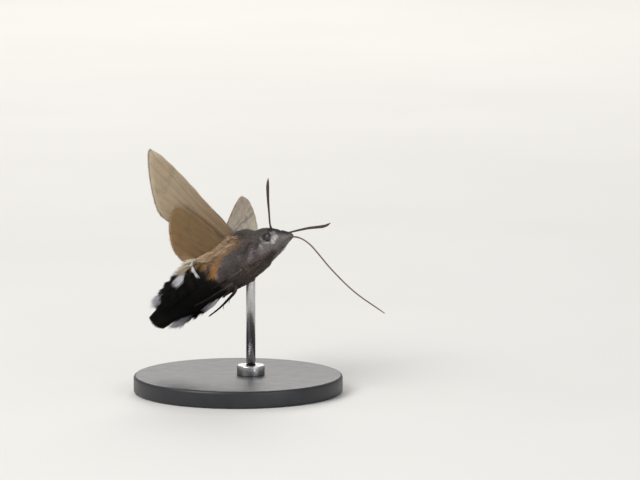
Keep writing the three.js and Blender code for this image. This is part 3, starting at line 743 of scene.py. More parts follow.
# Pale brushes: side (0 for both); x, degrees from the back and height over the coat at the roots, and
# the same at the tips; spread, number of scales, colour at the roots and at the tips
PALE_TUFTS = (
    (0, 12.6, 50, 0.1, 9.9, 50, 1.35, 0.4, 70, TUFT_CREAM, TUFT_CREAM),
    (0, 11.9, 55, 0.0, 9.0, 60, 1.1, 0.4, 70, TUFT_CREAM, TUFT_CREAM),
    (0, 11.9, 60, 0.2, 9.0, 82, 0.9, 0.26, 60, OCHRE, TUFT_CREAM),
    (0, 10.2, 56, 0.0, 7.9, 60, 1.2, 0.26, 50, TUFT_GREY, TUFT_WHITE),
    (0, 10.2, 85, 0.1, 7.9, 97, 1.0, 0.3, 130, TUFT_WHITE, TUFT_WHITE),
    (0, 12.3, 58, 0.7, 11.9, 84, 0.75, 0.07, 16, TUFT_CREAM, TUFT_WHITE),
    (0, 12.1, 78, 0.6, 12.1, 104, 0.6, 0.07, 16, TUFT_WHITE, TUFT_WHITE),
    (0, 12.2, 96, 0.5, 12.3, 118, 0.45, 0.07, 16, TUFT_WHITE, TUFT_WHITE),
    (0, 4.8, 74, 0.5, 2.4, 85, 2.45, 0.42, 190, TUFT_GREY, TUFT_WHITE),
    (1, 11.2, 131, 0.0, 9.0, 136, 0.5, 0.4, 150, TUFT_WHITE, TUFT_WHITE),
    (1, 5.2, 135, 0.2, 2.3, 142, 1.4, 0.45, 170, TUFT_GREY * 0.35, TUFT_WHITE),
    (1, 5.0, 128, 0.4, 2.8, 132, 1.8, 0.3, 60, BLACK, TUFT_WHITE),
)
SIDES = ((1, "left"), (-1, "right"))


def flank_angle(fold, side):
    """The angle of places so many degrees from the back on one side."""
    return np.radians(90 - fold * side)


for side, label in SIDES:
    batches = []
    for row, edge in enumerate(RING_EDGES):
        level = random.uniform(*TUFT_LEVELS, TUFT_COUNT) * random.uniform(0.55, 1, TUFT_COUNT)
        x = edge + random.normal(0, 0.17, TUFT_COUNT) - 0.25 * (level / 40) ** 2
        angle = np.radians(level if side > 0 else 180 - level)
        here, back, down, out = surface(x, angle, -TUFT_ROOT)
        flat_out = np.stack([np.zeros_like(x), np.cos(angle), np.sin(angle)], -1)
        layer = random.uniform(0, 1, TUFT_COUNT)
        spread = TUFT_OUT[row] * (0.2 + 0.9 * layer) * (1 - 0.55 * ramp(level, 15, 40))
        along = np.array([-1.0, 0, 0]) + flat_out * spread[:, None]
        along += down * (-level / 160 + random.normal(0, 0.07, TUFT_COUNT))[:, None]
        reach = TUFT_LENGTH[row] * random.uniform(0.84, 1.04, TUFT_COUNT) * (1.08 - 0.14 * layer)
        tint = coat_colour(*spot_of(here + unit(along) * (0.5 * reach)[:, None]))
        tint *= varied(0.6, 1.4, TUFT_COUNT)
        arch = np.array([-0.25, 0, 0]) - flat_out * (0.12 + 0.25 * layer)[:, None]
        width = random.uniform(*TUFT_WIDTHS, TUFT_COUNT)
        # roots darker than tips: painted shade deep in the tuft
        batches.append((here, along, out, reach, width, arch, tint * 0.8, tint, unwrap(x, angle)))
    for which, x0, fold0, low, x1, fold1, lift, spread, count, root_tint, tip_tint in PALE_TUFTS:
        if which not in (0, side):
            continue
        x, fold = x0 + random.normal(0, spread, count), fold0 + random.normal(0, spread * 16, count)
        angle = flank_angle(fold, side)
        here, back, down, out = surface(x, angle, low - PALE_ROOT)
        shift = random.normal(0, 0.16, count)
        tip_angle = flank_angle(fold + fold1 - fold0 + shift * 14, side)
        tip = trunk(np.maximum(x + x1 - x0 + shift, 0.1), tip_angle, lift * random.uniform(0.6, 1.1, count))
        bulge = out * PALE_BULGE
        along = tip - here + bulge
        tint = varied(0.72, 1.08, count)
        width = random.uniform(*PALE_WIDTHS, count)
        batches.append((here, along, out, np.linalg.norm(along, axis=-1), width, -bulge,
                        root_tint * tint, tip_tint * tint, unwrap(x, angle)))
    here, along, out, reach, width, arch, base, tips, spots = (np.concatenate(b) for b in zip(*batches))
    lay_locks(f"side_tufts_{label}", black_coat, here, along, out,
              (reach, width, TUFT_THICK), arch, (base, tips), spots)


# Tail brush
# Long flat scales close round the end of the abdomen into a blunt, flattened brush.
# They are black with worn brown ends and lie in many layers.
BRUSH_COUNT = 3400
BRUSH_ROOTS = (2.4, 5.0)
BRUSH_ROOT_DEPTH = 0.5
# How far past the tail's tip the longest scales end, and how far before that the shortest do
BRUSH_END = 0.35
BRUSH_LAYERS = 1.5
BRUSH_HALF_WIDTH = 1.85
BRUSH_HALF_HEIGHT = 0.5
# The brush's middle, to the left and up
BRUSH_MIDDLE = (0.18, 0.32)
BRUSH_WIDTHS = (0.14, 0.26)
BRUSH_THICK = 0.05
BRUSH_TIP = paint("262012")

x = random.uniform(*BRUSH_ROOTS, BRUSH_COUNT)
angle = random.uniform(0, 2 * np.pi, BRUSH_COUNT)
here, back, down, out = surface(x, angle, -BRUSH_ROOT_DEPTH)
sideways = np.cos(angle)
depth_share = random.uniform(0, 1, BRUSH_COUNT) ** 0.7
ragged = np.abs(random.normal(0.0, 0.16, BRUSH_COUNT))
end = np.stack([
    BRUSH_LAYERS * (1 - depth_share) - BRUSH_END + 0.4 * sideways**2 + ragged,
    BRUSH_HALF_WIDTH * sideways * random.uniform(0.8, 1.12, BRUSH_COUNT) + BRUSH_MIDDLE[0],
    BRUSH_MIDDLE[1] + BRUSH_HALF_HEIGHT * np.sin(angle) * random.uniform(0.6, 1.1, BRUSH_COUNT),
], -1)
way = end - here
reach = np.linalg.norm(way, axis=-1)
base = BLACK * varied(0.7, 1.7, BRUSH_COUNT)
worn = varied(0, 1, BRUSH_COUNT) ** 2
width = random.uniform(*BRUSH_WIDTHS, BRUSH_COUNT)
lay_locks("tail_brush", black_coat, here, way, out, (reach, width, BRUSH_THICK), out * 0.12,
          (base, base + (BRUSH_TIP - base) * worn), unwrap(x, angle))


# Eyes
# Large smooth compound eyes, dark brown with darker false pupils under a clear gloss.
# Each sits deep in its socket behind a rim of the smallest scales.
EYE_SUBDIVISIONS = 5
# Half the eye's size along, across and up
EYE_HALVES = EYE_RADIUS * np.array([1.0, 0.98, 0.95])
RIM_SCALES = 260
# The rim's gap from the eye, its breadth, and how deep its scales are rooted
RIM_GAP = 0.12
RIM_BREADTH = 0.24
RIM_ROOT = 0.2
RIM_LENGTHS = (0.28, 0.42)
RIM_WIDTH = 0.09
RIM_THICK = 0.03

eye_finish, tree, shader = finish("eye_gloss", Roughness=0.42, Coat_Weight=0.12, Coat_Roughness=0.2)
place = in_millimetres(tree)
cells = wire(tree, "ShaderNodeTexVoronoi", {"Vector": place, "Scale": 1.9, "Smoothness": 0.4},
             feature="SMOOTH_F1")
spots = between(tree, cells.outputs["Distance"], 1.0, 0.0, 0.2, 0.55)
tree.links.new(mixed(tree, spots, (0.034, 0.028, 0.025), (0.006, 0.005, 0.005)), shader.inputs["Base Color"])
facets = wire(tree, "ShaderNodeTexVoronoi", {"Vector": place, "Scale": 24.0}, feature="F1")
bump(tree, shader, facets.outputs["Distance"], 0.01, 0.35)

for side, label in SIDES:
    bpy.ops.mesh.primitive_ico_sphere_add(subdivisions=EYE_SUBDIVISIONS, radius=1.0)
    ball = bpy.context.object
    local = np.empty(len(ball.data.vertices) * 3)
    ball.data.vertices.foreach_get("co", local)
    local = local.reshape(-1, 3) * EYE_HALVES
    eye_middle = EYE_AT * (1, side, 1)
    ball.data.vertices.foreach_set("co", placed(local + eye_middle).astype(np.float32).ravel())
    ball.data.polygons.foreach_set("use_smooth", np.full(len(ball.data.polygons), True))
    ball.data.materials.append(eye_finish)
    ball.name = ball.data.name = f"eye_dome_{label}"
    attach(ball, "root")
    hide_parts(f"eye_{label}")

    turn = np.linspace(0, 2 * np.pi, RIM_SCALES, endpoint=False) + random.normal(0, 0.01, RIM_SCALES)
    away = EYE_RADIUS + RIM_GAP + random.uniform(0, RIM_BREADTH, RIM_SCALES)
    x = EYE_AT[0] + away * np.cos(turn)
    height = EYE_AT[2] + away * np.sin(turn)
    middle, width, over, under = station(x)
    angle = np.arcsin(np.clip((height - middle) / np.where(height > middle, over, under), -0.95, 0.95))
    angle = angle if side > 0 else np.pi - angle
    here, back, down, out = surface(x, angle, -RIM_ROOT)
    along = back * 0.9 + unit(here - eye_middle) * 0.35 + out * 0.25
    tint = coat_colour(x, angle) * varied(0.85, 1.2, RIM_SCALES)
    keep = eye_gap(here + unit(along) * 0.3) > EYE_RADIUS + 0.02
    sizes = (random.uniform(*RIM_LENGTHS, RIM_SCALES)[keep], RIM_WIDTH, RIM_THICK)
    # darker roots and lighter tips: painted shade and painted light
    lay_locks(f"eye_rim_{label}", brown_coat, here[keep], along[keep], out[keep], sizes,
              np.zeros((keep.sum(), 3)), ((tint * 0.7)[keep], (tint * 1.1)[keep]), unwrap(x, angle)[keep])


# Feelers
# Ringed, dark brown clubs: a stout foot, a slim shaft that thickens evenly, and a fine hooked tip.
# Each ring is a short collar of scales, a little wider at its outer end.
FEELER_X = 27.2
FEELER_TURN = math.radians(50)
FEELER_GAP = 0.34
FEELER_STEM = 0.5
# How far the foot reaches into the head
FEELER_FOOT = 0.75
# Ahead, outwards and up: the left one is held a little further ahead
FEELER_REACH = {"left": np.array([6.06, 7.55, 2.54]), "right": np.array([5.46, 7.4, 2.5])}
FEELER_BOW = np.array([-0.1, 0.0, 0.38])
FEELER_HOOK = np.array([0.1, -0.15, 0.4])
FEELER_RINGS = 62
FEELER_RING_DEPTH = 0.09
FEELER_SIDES = 20
FEELER_POINTS = 160
FEELER_GIRTH_AT = (0.0, 0.03, 0.06, 0.1, 0.3, 0.62, 0.84, 0.93, 0.975, 1.0)
FEELER_GIRTH = (0.22, 0.25, 0.18, 0.14, 0.15, 0.22, 0.26, 0.2, 0.09, 0.03)


def curve_through(bends, count):
    """Evenly spaced points on a smooth curve through the bends (centripetal, straight past its ends)."""
    bends = np.asarray(bends, float)
    bends = np.concatenate([[2 * bends[0] - bends[1]], bends, [2 * bends[-1] - bends[-2]]])
    fine = []
    for p0, p1, p2, p3 in zip(bends, bends[1:], bends[2:], bends[3:]):
        d0, d1, d2 = (math.sqrt(np.linalg.norm(b - a)) for a, b in ((p0, p1), (p1, p2), (p2, p3)))
        slope1 = ((p1 - p0) / d0 - (p2 - p0) / (d0 + d1) + (p2 - p1) / d1) * d1
        slope2 = ((p2 - p1) / d1 - (p3 - p1) / (d1 + d2) + (p3 - p2) / d2) * d1
        t = np.linspace(0, 1, 60, endpoint=False)[:, None]
        fine.append(eased(t, p1, slope1, p2, slope2))
    fine = np.concatenate(fine + [bends[-2:-1]])
    run = np.concatenate([[0], np.cumsum(np.linalg.norm(np.diff(fine, axis=0), axis=1))])
    at = np.linspace(0, run[-1], count)
    return np.stack([np.interp(at, run, fine[:, k]) for k in range(3)], -1)


def start_tree(name, inputs):
    """A new Geometry Nodes tree with named inputs, and the outputs of its input node."""
    tree = bpy.data.node_groups.new(name, "GeometryNodeTree")
    for label, kind in (("Guide", "Geometry"), *inputs, ("Finish", "Material")):
        tree.interface.new_socket(label, in_out="INPUT", socket_type=f"NodeSocket{kind}")
    tree.interface.new_socket("Piece", in_out="OUTPUT", socket_type="NodeSocketGeometry")
    return tree, wire(tree, "NodeGroupInput", {}).outputs


def end_tree(tree, made, given):
    """Ends a tree with its instances made real and its finish on them."""
    plain = wire(tree, "GeometryNodeRealizeInstances", {"Geometry": made}).outputs[0]
    feeds = {"Geometry": plain, "Material": given["Finish"]}
    wire(tree, "NodeGroupOutput", {"Piece": wire(tree, "GeometryNodeSetMaterial", feeds).outputs[0]})


def stored(tree, name, kind):
    """A value that the guide stores at each point."""
    return wire(tree, "GeometryNodeInputNamedAttribute", {"Name": name}, data_type=kind).outputs[0]


def maths(tree, kind, *values):
    """A sum of values and other nodes' outputs."""
    return wire(tree, "ShaderNodeMath", dict(enumerate(values)), operation=kind).outputs[0]


def ringed_shaft_tree():
    """Geometry Nodes: a bar along the guide's points, with the guide's girth and saw-toothed rings."""
    inputs = (("Rings", "Float"), ("Ring depth", "Float"), ("Steps", "Int"), ("Sides", "Int"))
    tree, given = start_tree("ringed_shaft", inputs)
    line = wire(tree, "GeometryNodeMeshToCurve", {"Mesh": given["Guide"]}).outputs[0]
    line = wire(tree, "GeometryNodeResampleCurve", {"Curve": line, "Count": given["Steps"]}).outputs[0]
    share = wire(tree, "GeometryNodeSplineParameter", {}).outputs["Factor"]
    saw = maths(tree, "FRACT", maths(tree, "MULTIPLY", share, given["Rings"]))
    swell = maths(tree, "MULTIPLY_ADD", saw, given["Ring depth"], 1.0)
    size = maths(tree, "MULTIPLY", stored(tree, "girth", "FLOAT"), swell)
    ring = wire(tree, "GeometryNodeCurvePrimitiveCircle", {"Resolution": given["Sides"], "Radius": 1.0})
    feeds = {"Curve": line, "Profile Curve": ring.outputs[0], "Scale": size, "Fill Caps": True}
    end_tree(tree, wire(tree, "GeometryNodeCurveToMesh", feeds).outputs[0], given)
    return tree


def run_tree(name, tree, guide, inputs):
    """Runs a Geometry Nodes tree on a guide object and returns its result as a plain piece."""
    modifier = guide.modifiers.new("build", "NODES")
    modifier.node_group = tree
    keys = {item.name: item.identifier for item in tree.interface.items_tree if item.in_out == "INPUT"}
    for label, value in inputs.items():
        modifier[keys[label]] = value
    bpy.context.view_layer.update()
    seen = bpy.context.evaluated_depsgraph_get()
    mesh = bpy.data.meshes.new_from_object(guide.evaluated_get(seen), depsgraph=seen)
    bpy.data.objects.remove(guide)
    mesh.name = name
    mesh.polygons.foreach_set("use_smooth", np.full(len(mesh.polygons), True))
    return in_scene(name, mesh)


def guide_for(points, edges, kind, field, values):
    """A guide of points joined by edges, with named values of one kind stored at each point."""
    mesh = bpy.data.meshes.new("guide")
    mesh.from_pydata(placed(points).tolist(), edges, [])
    for key, numbers in values.items():
        attribute = mesh.attributes.new(key, kind, "POINT")
        attribute.data.foreach_set(field, numbers.astype(np.float32).ravel())
    return in_scene("guide", mesh)


ringed_shaft = ringed_shaft_tree()


def shaft_piece(name, points, girths, finish_used, rings, ring_depth, sides, steps_a_ring=5):
    """A ringed bar along points, riding on the moth."""
    links = [(i, i + 1) for i in range(len(points) - 1)]
    guide = guide_for(points, links, "FLOAT", "value", {"girth": girths * MM})
    piece = run_tree(name, ringed_shaft, guide, {
        "Rings": float(rings), "Ring depth": ring_depth, "Steps": rings * steps_a_ring + 1,
        "Sides": sides, "Finish": finish_used,
    })
    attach(piece, "root")
    return piece


feeler_finish, tree, shader = finish("feeler_scales", Roughness=0.6, Specular_IOR_Level=0.35,
                                     Sheen_Weight=0.08)
bump(tree, shader, mottle(tree, shader, (6.0, 3.0), paint("2b211b"), paint("51443a")), 0.02)

foot = trunk(FEELER_X, FEELER_TURN, FEELER_GAP)
feeler_girths = np.interp(np.linspace(0, 1, FEELER_POINTS), FEELER_GIRTH_AT, FEELER_GIRTH)
for side, label in SIDES:
    reach = FEELER_REACH[label]
    # the stem stands up from the head and leans over to where the feeler reaches
    stem = unit(np.array([0.15, math.cos(FEELER_TURN), math.sin(FEELER_TURN)]) + 1.6 * unit(reach))
    bends = [foot - stem * FEELER_FOOT, foot, foot + stem * FEELER_STEM]
    for share in (0.25, 0.55, 0.88, 1.0):
        bends.append(foot + reach * share + FEELER_BOW * math.sin(math.pi * share))
    bends[-1] = bends[-1] + FEELER_HOOK
    feeler_line = curve_through(bends, FEELER_POINTS) * (1, side, 1)
    feeler = shaft_piece(f"feeler_{label}", feeler_line, feeler_girths, feeler_finish,
                         FEELER_RINGS, FEELER_RING_DEPTH, FEELER_SIDES)
    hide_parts(f"antenna_{label}")


# Tongue
# Two smooth half tubes zipped into one, brown and finely ringed, held out ahead for feeding.
# It comes from between the palps and droops in an even curve.
TONGUE_ROOT = np.array([30.12, 0.0, -0.5])
# From the root back to the throat
TONGUE_THROAT = np.array([-1.6, 0.0, 0.75])
# How far ahead and how far down each bend is
TONGUE_BENDS = ((0, 0), (1.1, 1.0), (2.05, 2.7), (2.65, 4.65), (3.6, 8.2), (5.6, 13.6), (8.9, 19.6))
TONGUE_LEAN = 0.36
TONGUE_GIRTH_AT = (0.0, 0.15, 0.5, 0.92, 1.0)
TONGUE_GIRTH = (0.17, 0.125, 0.12, 0.11, 0.08)
TONGUE_RINGS = 150
TONGUE_RING_DEPTH = 0.05
TONGUE_SIDES = 14
TONGUE_POINTS = 240

tongue_finish, tree, shader = finish("tongue_chitin", Roughness=0.38, Specular_IOR_Level=0.5)
mottle(tree, shader, (2.5, 3.0), paint("3f3028"), paint("66503e"))

tongue_line = [TONGUE_ROOT + TONGUE_THROAT]
tongue_line += [TONGUE_ROOT + (ahead, down * TONGUE_LEAN, -down) for ahead, down in TONGUE_BENDS]
tongue_girths = np.interp(np.linspace(0, 1, TONGUE_POINTS), TONGUE_GIRTH_AT, TONGUE_GIRTH)
tongue = shaft_piece("tongue", curve_through(tongue_line, TONGUE_POINTS), tongue_girths,
                     tongue_finish, TONGUE_RINGS, TONGUE_RING_DEPTH, TONGUE_SIDES, steps_a_ring=3)
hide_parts("proboscis_base", "proboscis_end")


# Legs
# Six slender legs folded against the breast and belly, olive-brown, clothed in short flat scales.
# Middle and hind shins carry spurs; each foot ends in ringed joints and a pair of claws.
LEG_GAP = 0.22
# x of each bend, degrees from the belly's middle line, gap under the body
LEGS = {
    "fore": ((21.4, 23, -0.45), (22.6, 22.5, -0.45), (23.5, 17, -0.42), (22.9, 9, -0.42), (21.2, 8, -0.4),
             (19.0, 8, -0.25)),
    "mid": ((19.8, 24, -0.25), (18.2, 23, -0.2), (15.8, 22, -0.1), (13.2, 22, 0.1)),
    "hind": ((16.7, 8, 0.0), (15.9, 12, 0.65), (14.1, 15, 1.25), (11.9, 17, 1.7), (9.55, 20, 1.75)),
}
LEG_GIRTH_AT = (0.0, 0.12, 0.3, 0.42, 0.5, 0.62, 1.0)
LEG_GIRTH = (0.3, 0.28, 0.24, 0.2, 0.2, 0.15, 0.1)
LEG_SIDES = 14
LEG_RINGS = 16
LEG_RING_DEPTH = 0.1
LEG_POINTS = 180
LEG_SCALES = 620
LEG_SCALE_LENGTHS = (0.26, 0.46)
LEG_SCALE_WIDTHS = (0.07, 0.12)
LEG_SCALE_THICK = 0.03
# How far behind its first bend a leg starts, and how deep inside the trunk
HIP_BEHIND = 0.3
HIP_DEPTH = 0.6
LEG_OLIVE = paint("584d47")
LEG_DARK = paint("1c1714")
# Shares of the leg's length where pairs of spurs stand, and where its colour turns dark
SPUR_AT = {"fore": (), "mid": (0.55,), "hind": (0.4, 0.58)}
LEG_DARKENS = {"fore": 1.2, "mid": 0.5, "hind": 0.22}
# Length, width and lean to either side
SPUR = (1.15, 0.13, 0.5)
CLAW = (0.28, 0.06, 0.35)

leg_finish, tree, shader = finish("leg_chitin", Roughness=0.6, Specular_IOR_Level=0.2)
bump(tree, shader, mottle(tree, shader, (4.0, 3.0), read_tint(tree), (0.0, 0.0, 0.0), (0.6, 0.0)), 0.02)


def leg_tint(pair, share):
    """A leg's colour at a share of its length: olive by the breast, dark beyond."""
    pale = 1 - ramp(share, LEG_DARKENS[pair] - 0.15, LEG_DARKENS[pair] + 0.15)
    return LEG_DARK + (LEG_OLIVE - LEG_DARK) * pale[:, None]


for pair, bends in LEGS.items():
    for side, label in SIDES:
        spots = np.array(bends)
        angles = 1.5 * np.pi + side * np.radians(spots[:, 1])
        path = trunk(spots[:, 0], angles, spots[:, 2] + LEG_GAP)
        hip = trunk(spots[:1, 0] - HIP_BEHIND, angles[:1], -HIP_DEPTH)
        line = curve_through(np.concatenate([hip, path]), LEG_POINTS)
        shares = np.linspace(0, 1, LEG_POINTS)
        girths = np.interp(shares, LEG_GIRTH_AT, LEG_GIRTH)
        leg = shaft_piece(f"leg_shaft_{pair}_{label}", line, girths, leg_finish, LEG_RINGS,
                          LEG_RING_DEPTH, LEG_SIDES, steps_a_ring=8)
        around = np.arange(len(leg.data.vertices)) // LEG_SIDES
        tint_points(leg, leg_tint(pair, around / around.max()))
        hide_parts(f"leg_{pair}_{label}")

        # flat scales along the leg, then its spurs and claws
        share = random.uniform(0.02, 0.97, LEG_SCALES)
        turn = random.uniform(0, 2 * np.pi, LEG_SCALES)
        step = share * (LEG_POINTS - 1)
        low = np.clip(step.astype(int), 0, LEG_POINTS - 2)
        here = line[low] + (line[low + 1] - line[low]) * (step - low)[:, None]
        ahead = unit(line[low + 1] - line[low])
        side_way = unit(np.cross(ahead, (0, 0, 1.0)))
        other = np.cross(ahead, side_way)
        out = swung(side_way, other, turn)
        girth = np.interp(share, shares, girths)
        tint = leg_tint(pair, share) * varied(0.6, 1.3, LEG_SCALES)
        reach = random.uniform(*LEG_SCALE_LENGTHS, LEG_SCALES) * (1.25 - 0.6 * share)
        roots = here + out * (girth * 0.85)[:, None]
        way = ahead + out * varied(0.04, 0.2, LEG_SCALES)
        width = random.uniform(*LEG_SCALE_WIDTHS, LEG_SCALES)
        spikes = []
        for spot in SPUR_AT[pair]:
            k = int(spot * (LEG_POINTS - 1))
            drop = unit(line[k] - trunk(line[k, 0], angles[0], -3.0))
            for lean in (-SPUR[2], SPUR[2]):
                spur_way = unit(line[k + 1] - line[k]) + drop * 0.45 + side_way[0] * lean
                spikes.append((line[k], spur_way, drop, *SPUR[:2], LEG_DARK, spot, 0.5 + lean))
        for lean in (-CLAW[2], CLAW[2]):
            claw_way = unit(line[-1] - line[-2]) + side_way[0] * lean
            spikes.append((line[-1], claw_way, other[0], *CLAW[:2], LEG_DARK, 0.99, 0.5 + lean))
        scales = (roots, way, out, reach, width, tint, share, turn)
        roots, way, out, reach, width, tint, share, turn = (
            np.concatenate([column, np.array(more)]) for column, more in zip(scales, zip(*spikes)))
        coat = brown_coat if pair == "fore" else black_coat
        # darker roots and lighter tips: painted shade and painted light
        lay_locks(f"leg_scales_{pair}_{label}", coat, roots, way, out,
                  (reach, width, LEG_SCALE_THICK), np.zeros_like(roots), (tint * 0.7, tint * 1.1),
                  unwrap(share * UNWRAP_LENGTH, turn))


# Wings
# Thin scaled membranes stretched over raised veins, forewing over hindwing on each side.
# The upper side is grey-brown with dark wavy lines; underneath they are orange-brown and beige.
# A vein is its share of the margin and its kind: 0 the fore stem, 1 the cell, 2 the hind stem
FOREWING = {
    "margin": ((6.5, -0.35), (12, -0.45), (17, -0.1), (20.6, 0.55), (22.4, 1.65), (21.7, 3.0), (19.6, 5.1),
               (16.8, 7.2), (13.9, 8.5), (10.5, 7.6), (6.2, 5.6), (2.2, 4.1)),
    "roots": ((-2.6, -0.05), (-2.6, 2.6)),
    "stems": ((10.2, 1.7), (10.4, 3.4), (9.6, 4.9)),
    "veins": ((0.17, 0), (0.27, 0), (0.345, 0), (0.405, 0), (0.46, 1), (0.52, 1), (0.58, 1), (0.65, 2),
              (0.72, 2), (0.86, 2)),
    "drop": 0.0,
    "fringe": (0.4, 1.0),
}
HINDWING = {
    "margin": ((4.1, 2.0), (7.75, 2.35), (10.85, 3.25), (12.0, 4.65), (11.75, 6.45), (10.3, 8.55),
               (8.0, 10.2), (5.45, 10.45), (3.1, 9.3), (0.9, 7.1)),
    "roots": ((-2.6, 2.3), (-2.6, 5.2)),
    "stems": ((4.9, 3.75), (4.9, 5.0), (4.55, 6.2)),
    "veins": ((0.16, 0), (0.3, 0), (0.42, 1), (0.52, 1), (0.61, 1), (0.7, 2), (0.79, 2), (0.9, 2)),
    "drop": -0.75,
    "fringe": (0.3, 1.0),
}
WING_ROOT = np.array([21.3, 2.7, 3.9])
# For each wing: its side, and degrees raised over level, swept back and twisted
WING_SET = {
    "forewing_left": (1, 64.0, 5.2, 8.7), "hindwing_left": (1, 64.0, 5.2, 8.7),
    "forewing_right": (-1, 54.3, 15.0, -19.4), "hindwing_right": (-1, 54.0, 16.9, -18.0),
}
WING_BEND = 2.0
WING_CAMBER = 0.45
MEMBRANE = 0.17
MARGIN = 0.07
VEIN_RISE = 0.055
VEIN_WIDTH = 0.13
# Half the gap between the rays on either side of a vein, as a share of the margin
VEIN_GAP = 0.011
# How far the rays are drawn towards the stems of the veins, and over what share of the margin that starts
STEM_PULL = 0.3
STEM_EASE = 0.12
# Added to half the thickness at the root and along the leading edge
ROOT_SWELL = 0.16
LEADING_SWELL = 0.1
MARGIN_POINTS = 1200
WING_RAYS = 181
WING_STEPS = 64
# The plan's millimetres in the maps for the markings
PLAN_LENGTH = 24.0
PLAN_MARGIN = 0.12


def wing_axes(wing):
    """A wing's root and its axes: along the span, back along the chord, and out of its upper side."""
    side, raised, swept, twist = WING_SET[wing]
    up, back, turn = (math.radians(a) for a in (raised, swept, twist))
    span = np.array([-math.sin(back), side * math.cos(back) * math.cos(up), math.cos(back) * math.sin(up)])
    tail = np.array([-1.0, 0, 0])
    chord = unit(tail - span * tail.dot(span))
    chord = chord * math.cos(turn) - np.cross(span, chord) * side * math.sin(turn)
    return WING_ROOT * (1, side, 1), np.stack([span, chord, np.cross(span, chord) * side])


def sheet_height(plan, x, y):
    """Height of the membrane's middle over the wing's own plane."""
    return plan["drop"] + WING_BEND * (x / 22) ** 2 - WING_CAMBER * ((y - 3) / 6) ** 2


def wing_rays(plan, shares, steps):
    """Plan points along curved rays from the root to the margin, one row for each share of the margin."""
    veins = plan["veins"]
    known = [0.0]
    for place, _ in veins:
        known += [place - VEIN_GAP, place, place + VEIN_GAP]
    known.append(1.0)
    root_share = np.interp(shares, known, np.linspace(0, 1, len(known)))
    kinds = np.interp(shares, *zip(*veins))
    stems = np.array(plan["stems"])
    stem = np.stack([np.interp(kinds, (0, 1, 2), stems[:, k]) for k in (0, 1)], -1)
    margin = curve_through([(x, y, 0) for x, y in plan["margin"]], MARGIN_POINTS)
    at = shares * (MARGIN_POINTS - 1)
    end = np.stack([np.interp(at, np.arange(MARGIN_POINTS), margin[:, k]) for k in (0, 1)], -1)
    root = np.array(plan["roots"])
    start = root[0] + (root[1] - root[0]) * root_share[:, None]
    turn = (start + end) / 2
    pull = np.minimum(1, np.minimum(shares, 1 - shares) / STEM_EASE)
    pull = np.where((shares > 0.02) & (shares < 0.98), pull, 0)[:, None]
    turn = turn + (stem - turn) * STEM_PULL * pull
    t = np.linspace(0, 1, steps)[None, :, None]
    return start[:, None] * (1 - t) ** 2 + turn[:, None] * 2 * t * (1 - t) + end[:, None] * t**2


def wing_piece(slot, plan, label, materials):
    """A closed thin membrane with vein ridges on both faces, and maps of its plan for the markings."""
    shares = np.linspace(0, 1, WING_RAYS)
    flat = wing_rays(plan, shares, WING_STEPS)
    x, y = flat[..., 0], flat[..., 1]
    t = np.linspace(0, 1, WING_STEPS)[None, :]
    ridge = np.zeros_like(x)
    for share, kind in plan["veins"] + ((0.0, 0), (1.0, 2)):
        line = wing_rays(plan, np.array([share]), WING_STEPS)[0]
        away = np.hypot(x - line[None, :, 0], y - line[None, :, 1])
        starts = ramp(t, 0.42, 0.52) if kind == 1 else 1.0
        ridge = np.maximum(ridge, bell(away, 0, VEIN_WIDTH * (1.5 - 0.9 * t)) * starts)
    cell = plan["stems"][1]
    cross = bell(x - cell[0] - 0.35 * np.abs(y - cell[1]), 0, 0.12) * ramp(y, cell[1] - 1.2, cell[1] - 0.9)
    ridge = np.maximum(ridge, cross * (1 - ramp(y, cell[1] + 0.9, cell[1] + 1.2)) * 0.9)
    side_edges = np.minimum(ramp(shares, 0, 0.02), ramp(1 - shares, 0, 0.02))[:, None]
    edge = np.minimum(ramp(1 - t, 0, 0.05), side_edges)
    half = (MARGIN + (MEMBRANE - MARGIN) * edge) / 2 + VEIN_RISE * ridge * (1 - 0.5 * t)
    half = half + ROOT_SWELL * (1 - ramp(x, 0, 4.5))
    half = half + LEADING_SWELL * bell(shares, 0, 0.03)[:, None] * (1 - ramp(x, 14, 21))
    ripple = 0.05 * np.sin(x * 1.9 + y * 2.3) * ramp(t, 0.3, 0.7) + 0.04 * np.sin(y * 4.1 - x * 0.7)
    middle = sheet_height(plan, x, y) + ripple
    root, axes = wing_axes(f"{slot}_{label}")
    faces_of = [np.stack([x, y, height], -1).reshape(-1, 3) for height in (middle + half, middle - half)]
    points = np.concatenate(faces_of) @ axes + root
    count = WING_RAYS * WING_STEPS
    grid = np.arange(count).reshape(WING_RAYS, WING_STEPS)
    quads = np.stack([grid[:-1, :-1], grid[:-1, 1:], grid[1:, 1:], grid[1:, :-1]], -1).reshape(-1, 4)
    loop = np.concatenate([grid[0, :-1], grid[:-1, -1], grid[-1, :0:-1], grid[:0:-1, 0]])
    walls = np.stack([loop, loop + count, np.roll(loop, -1) + count, np.roll(loop, -1)], -1)
    under = quads[:, ::-1] + count
    if label == "right":
        quads, under, walls = quads[:, ::-1], under[:, ::-1], walls[:, ::-1]
    choice = np.concatenate([np.zeros(len(quads)), np.ones(len(under) + len(walls))])
    piece = mesh_piece(f"{slot}_membrane_{label}", placed(points), [quads, under, walls], materials, choice)
    # both faces share one place in the maps
    corners = corner_points(piece) % count
    write_map(piece, "plan", (flat.reshape(-1, 2) / PLAN_LENGTH + PLAN_MARGIN)[corners])
    rays = np.stack(np.meshgrid(shares, t, indexing="ij"), -1)
    write_map(piece, "rays", rays.reshape(-1, 2)[corners])
    vein = piece.data.attributes.new("vein", "FLOAT", "POINT")
    vein.data.foreach_set("value", np.tile(ridge.ravel(), 2).astype(np.float32))
    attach(piece, "root")
    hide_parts(f"{slot}_{label}")


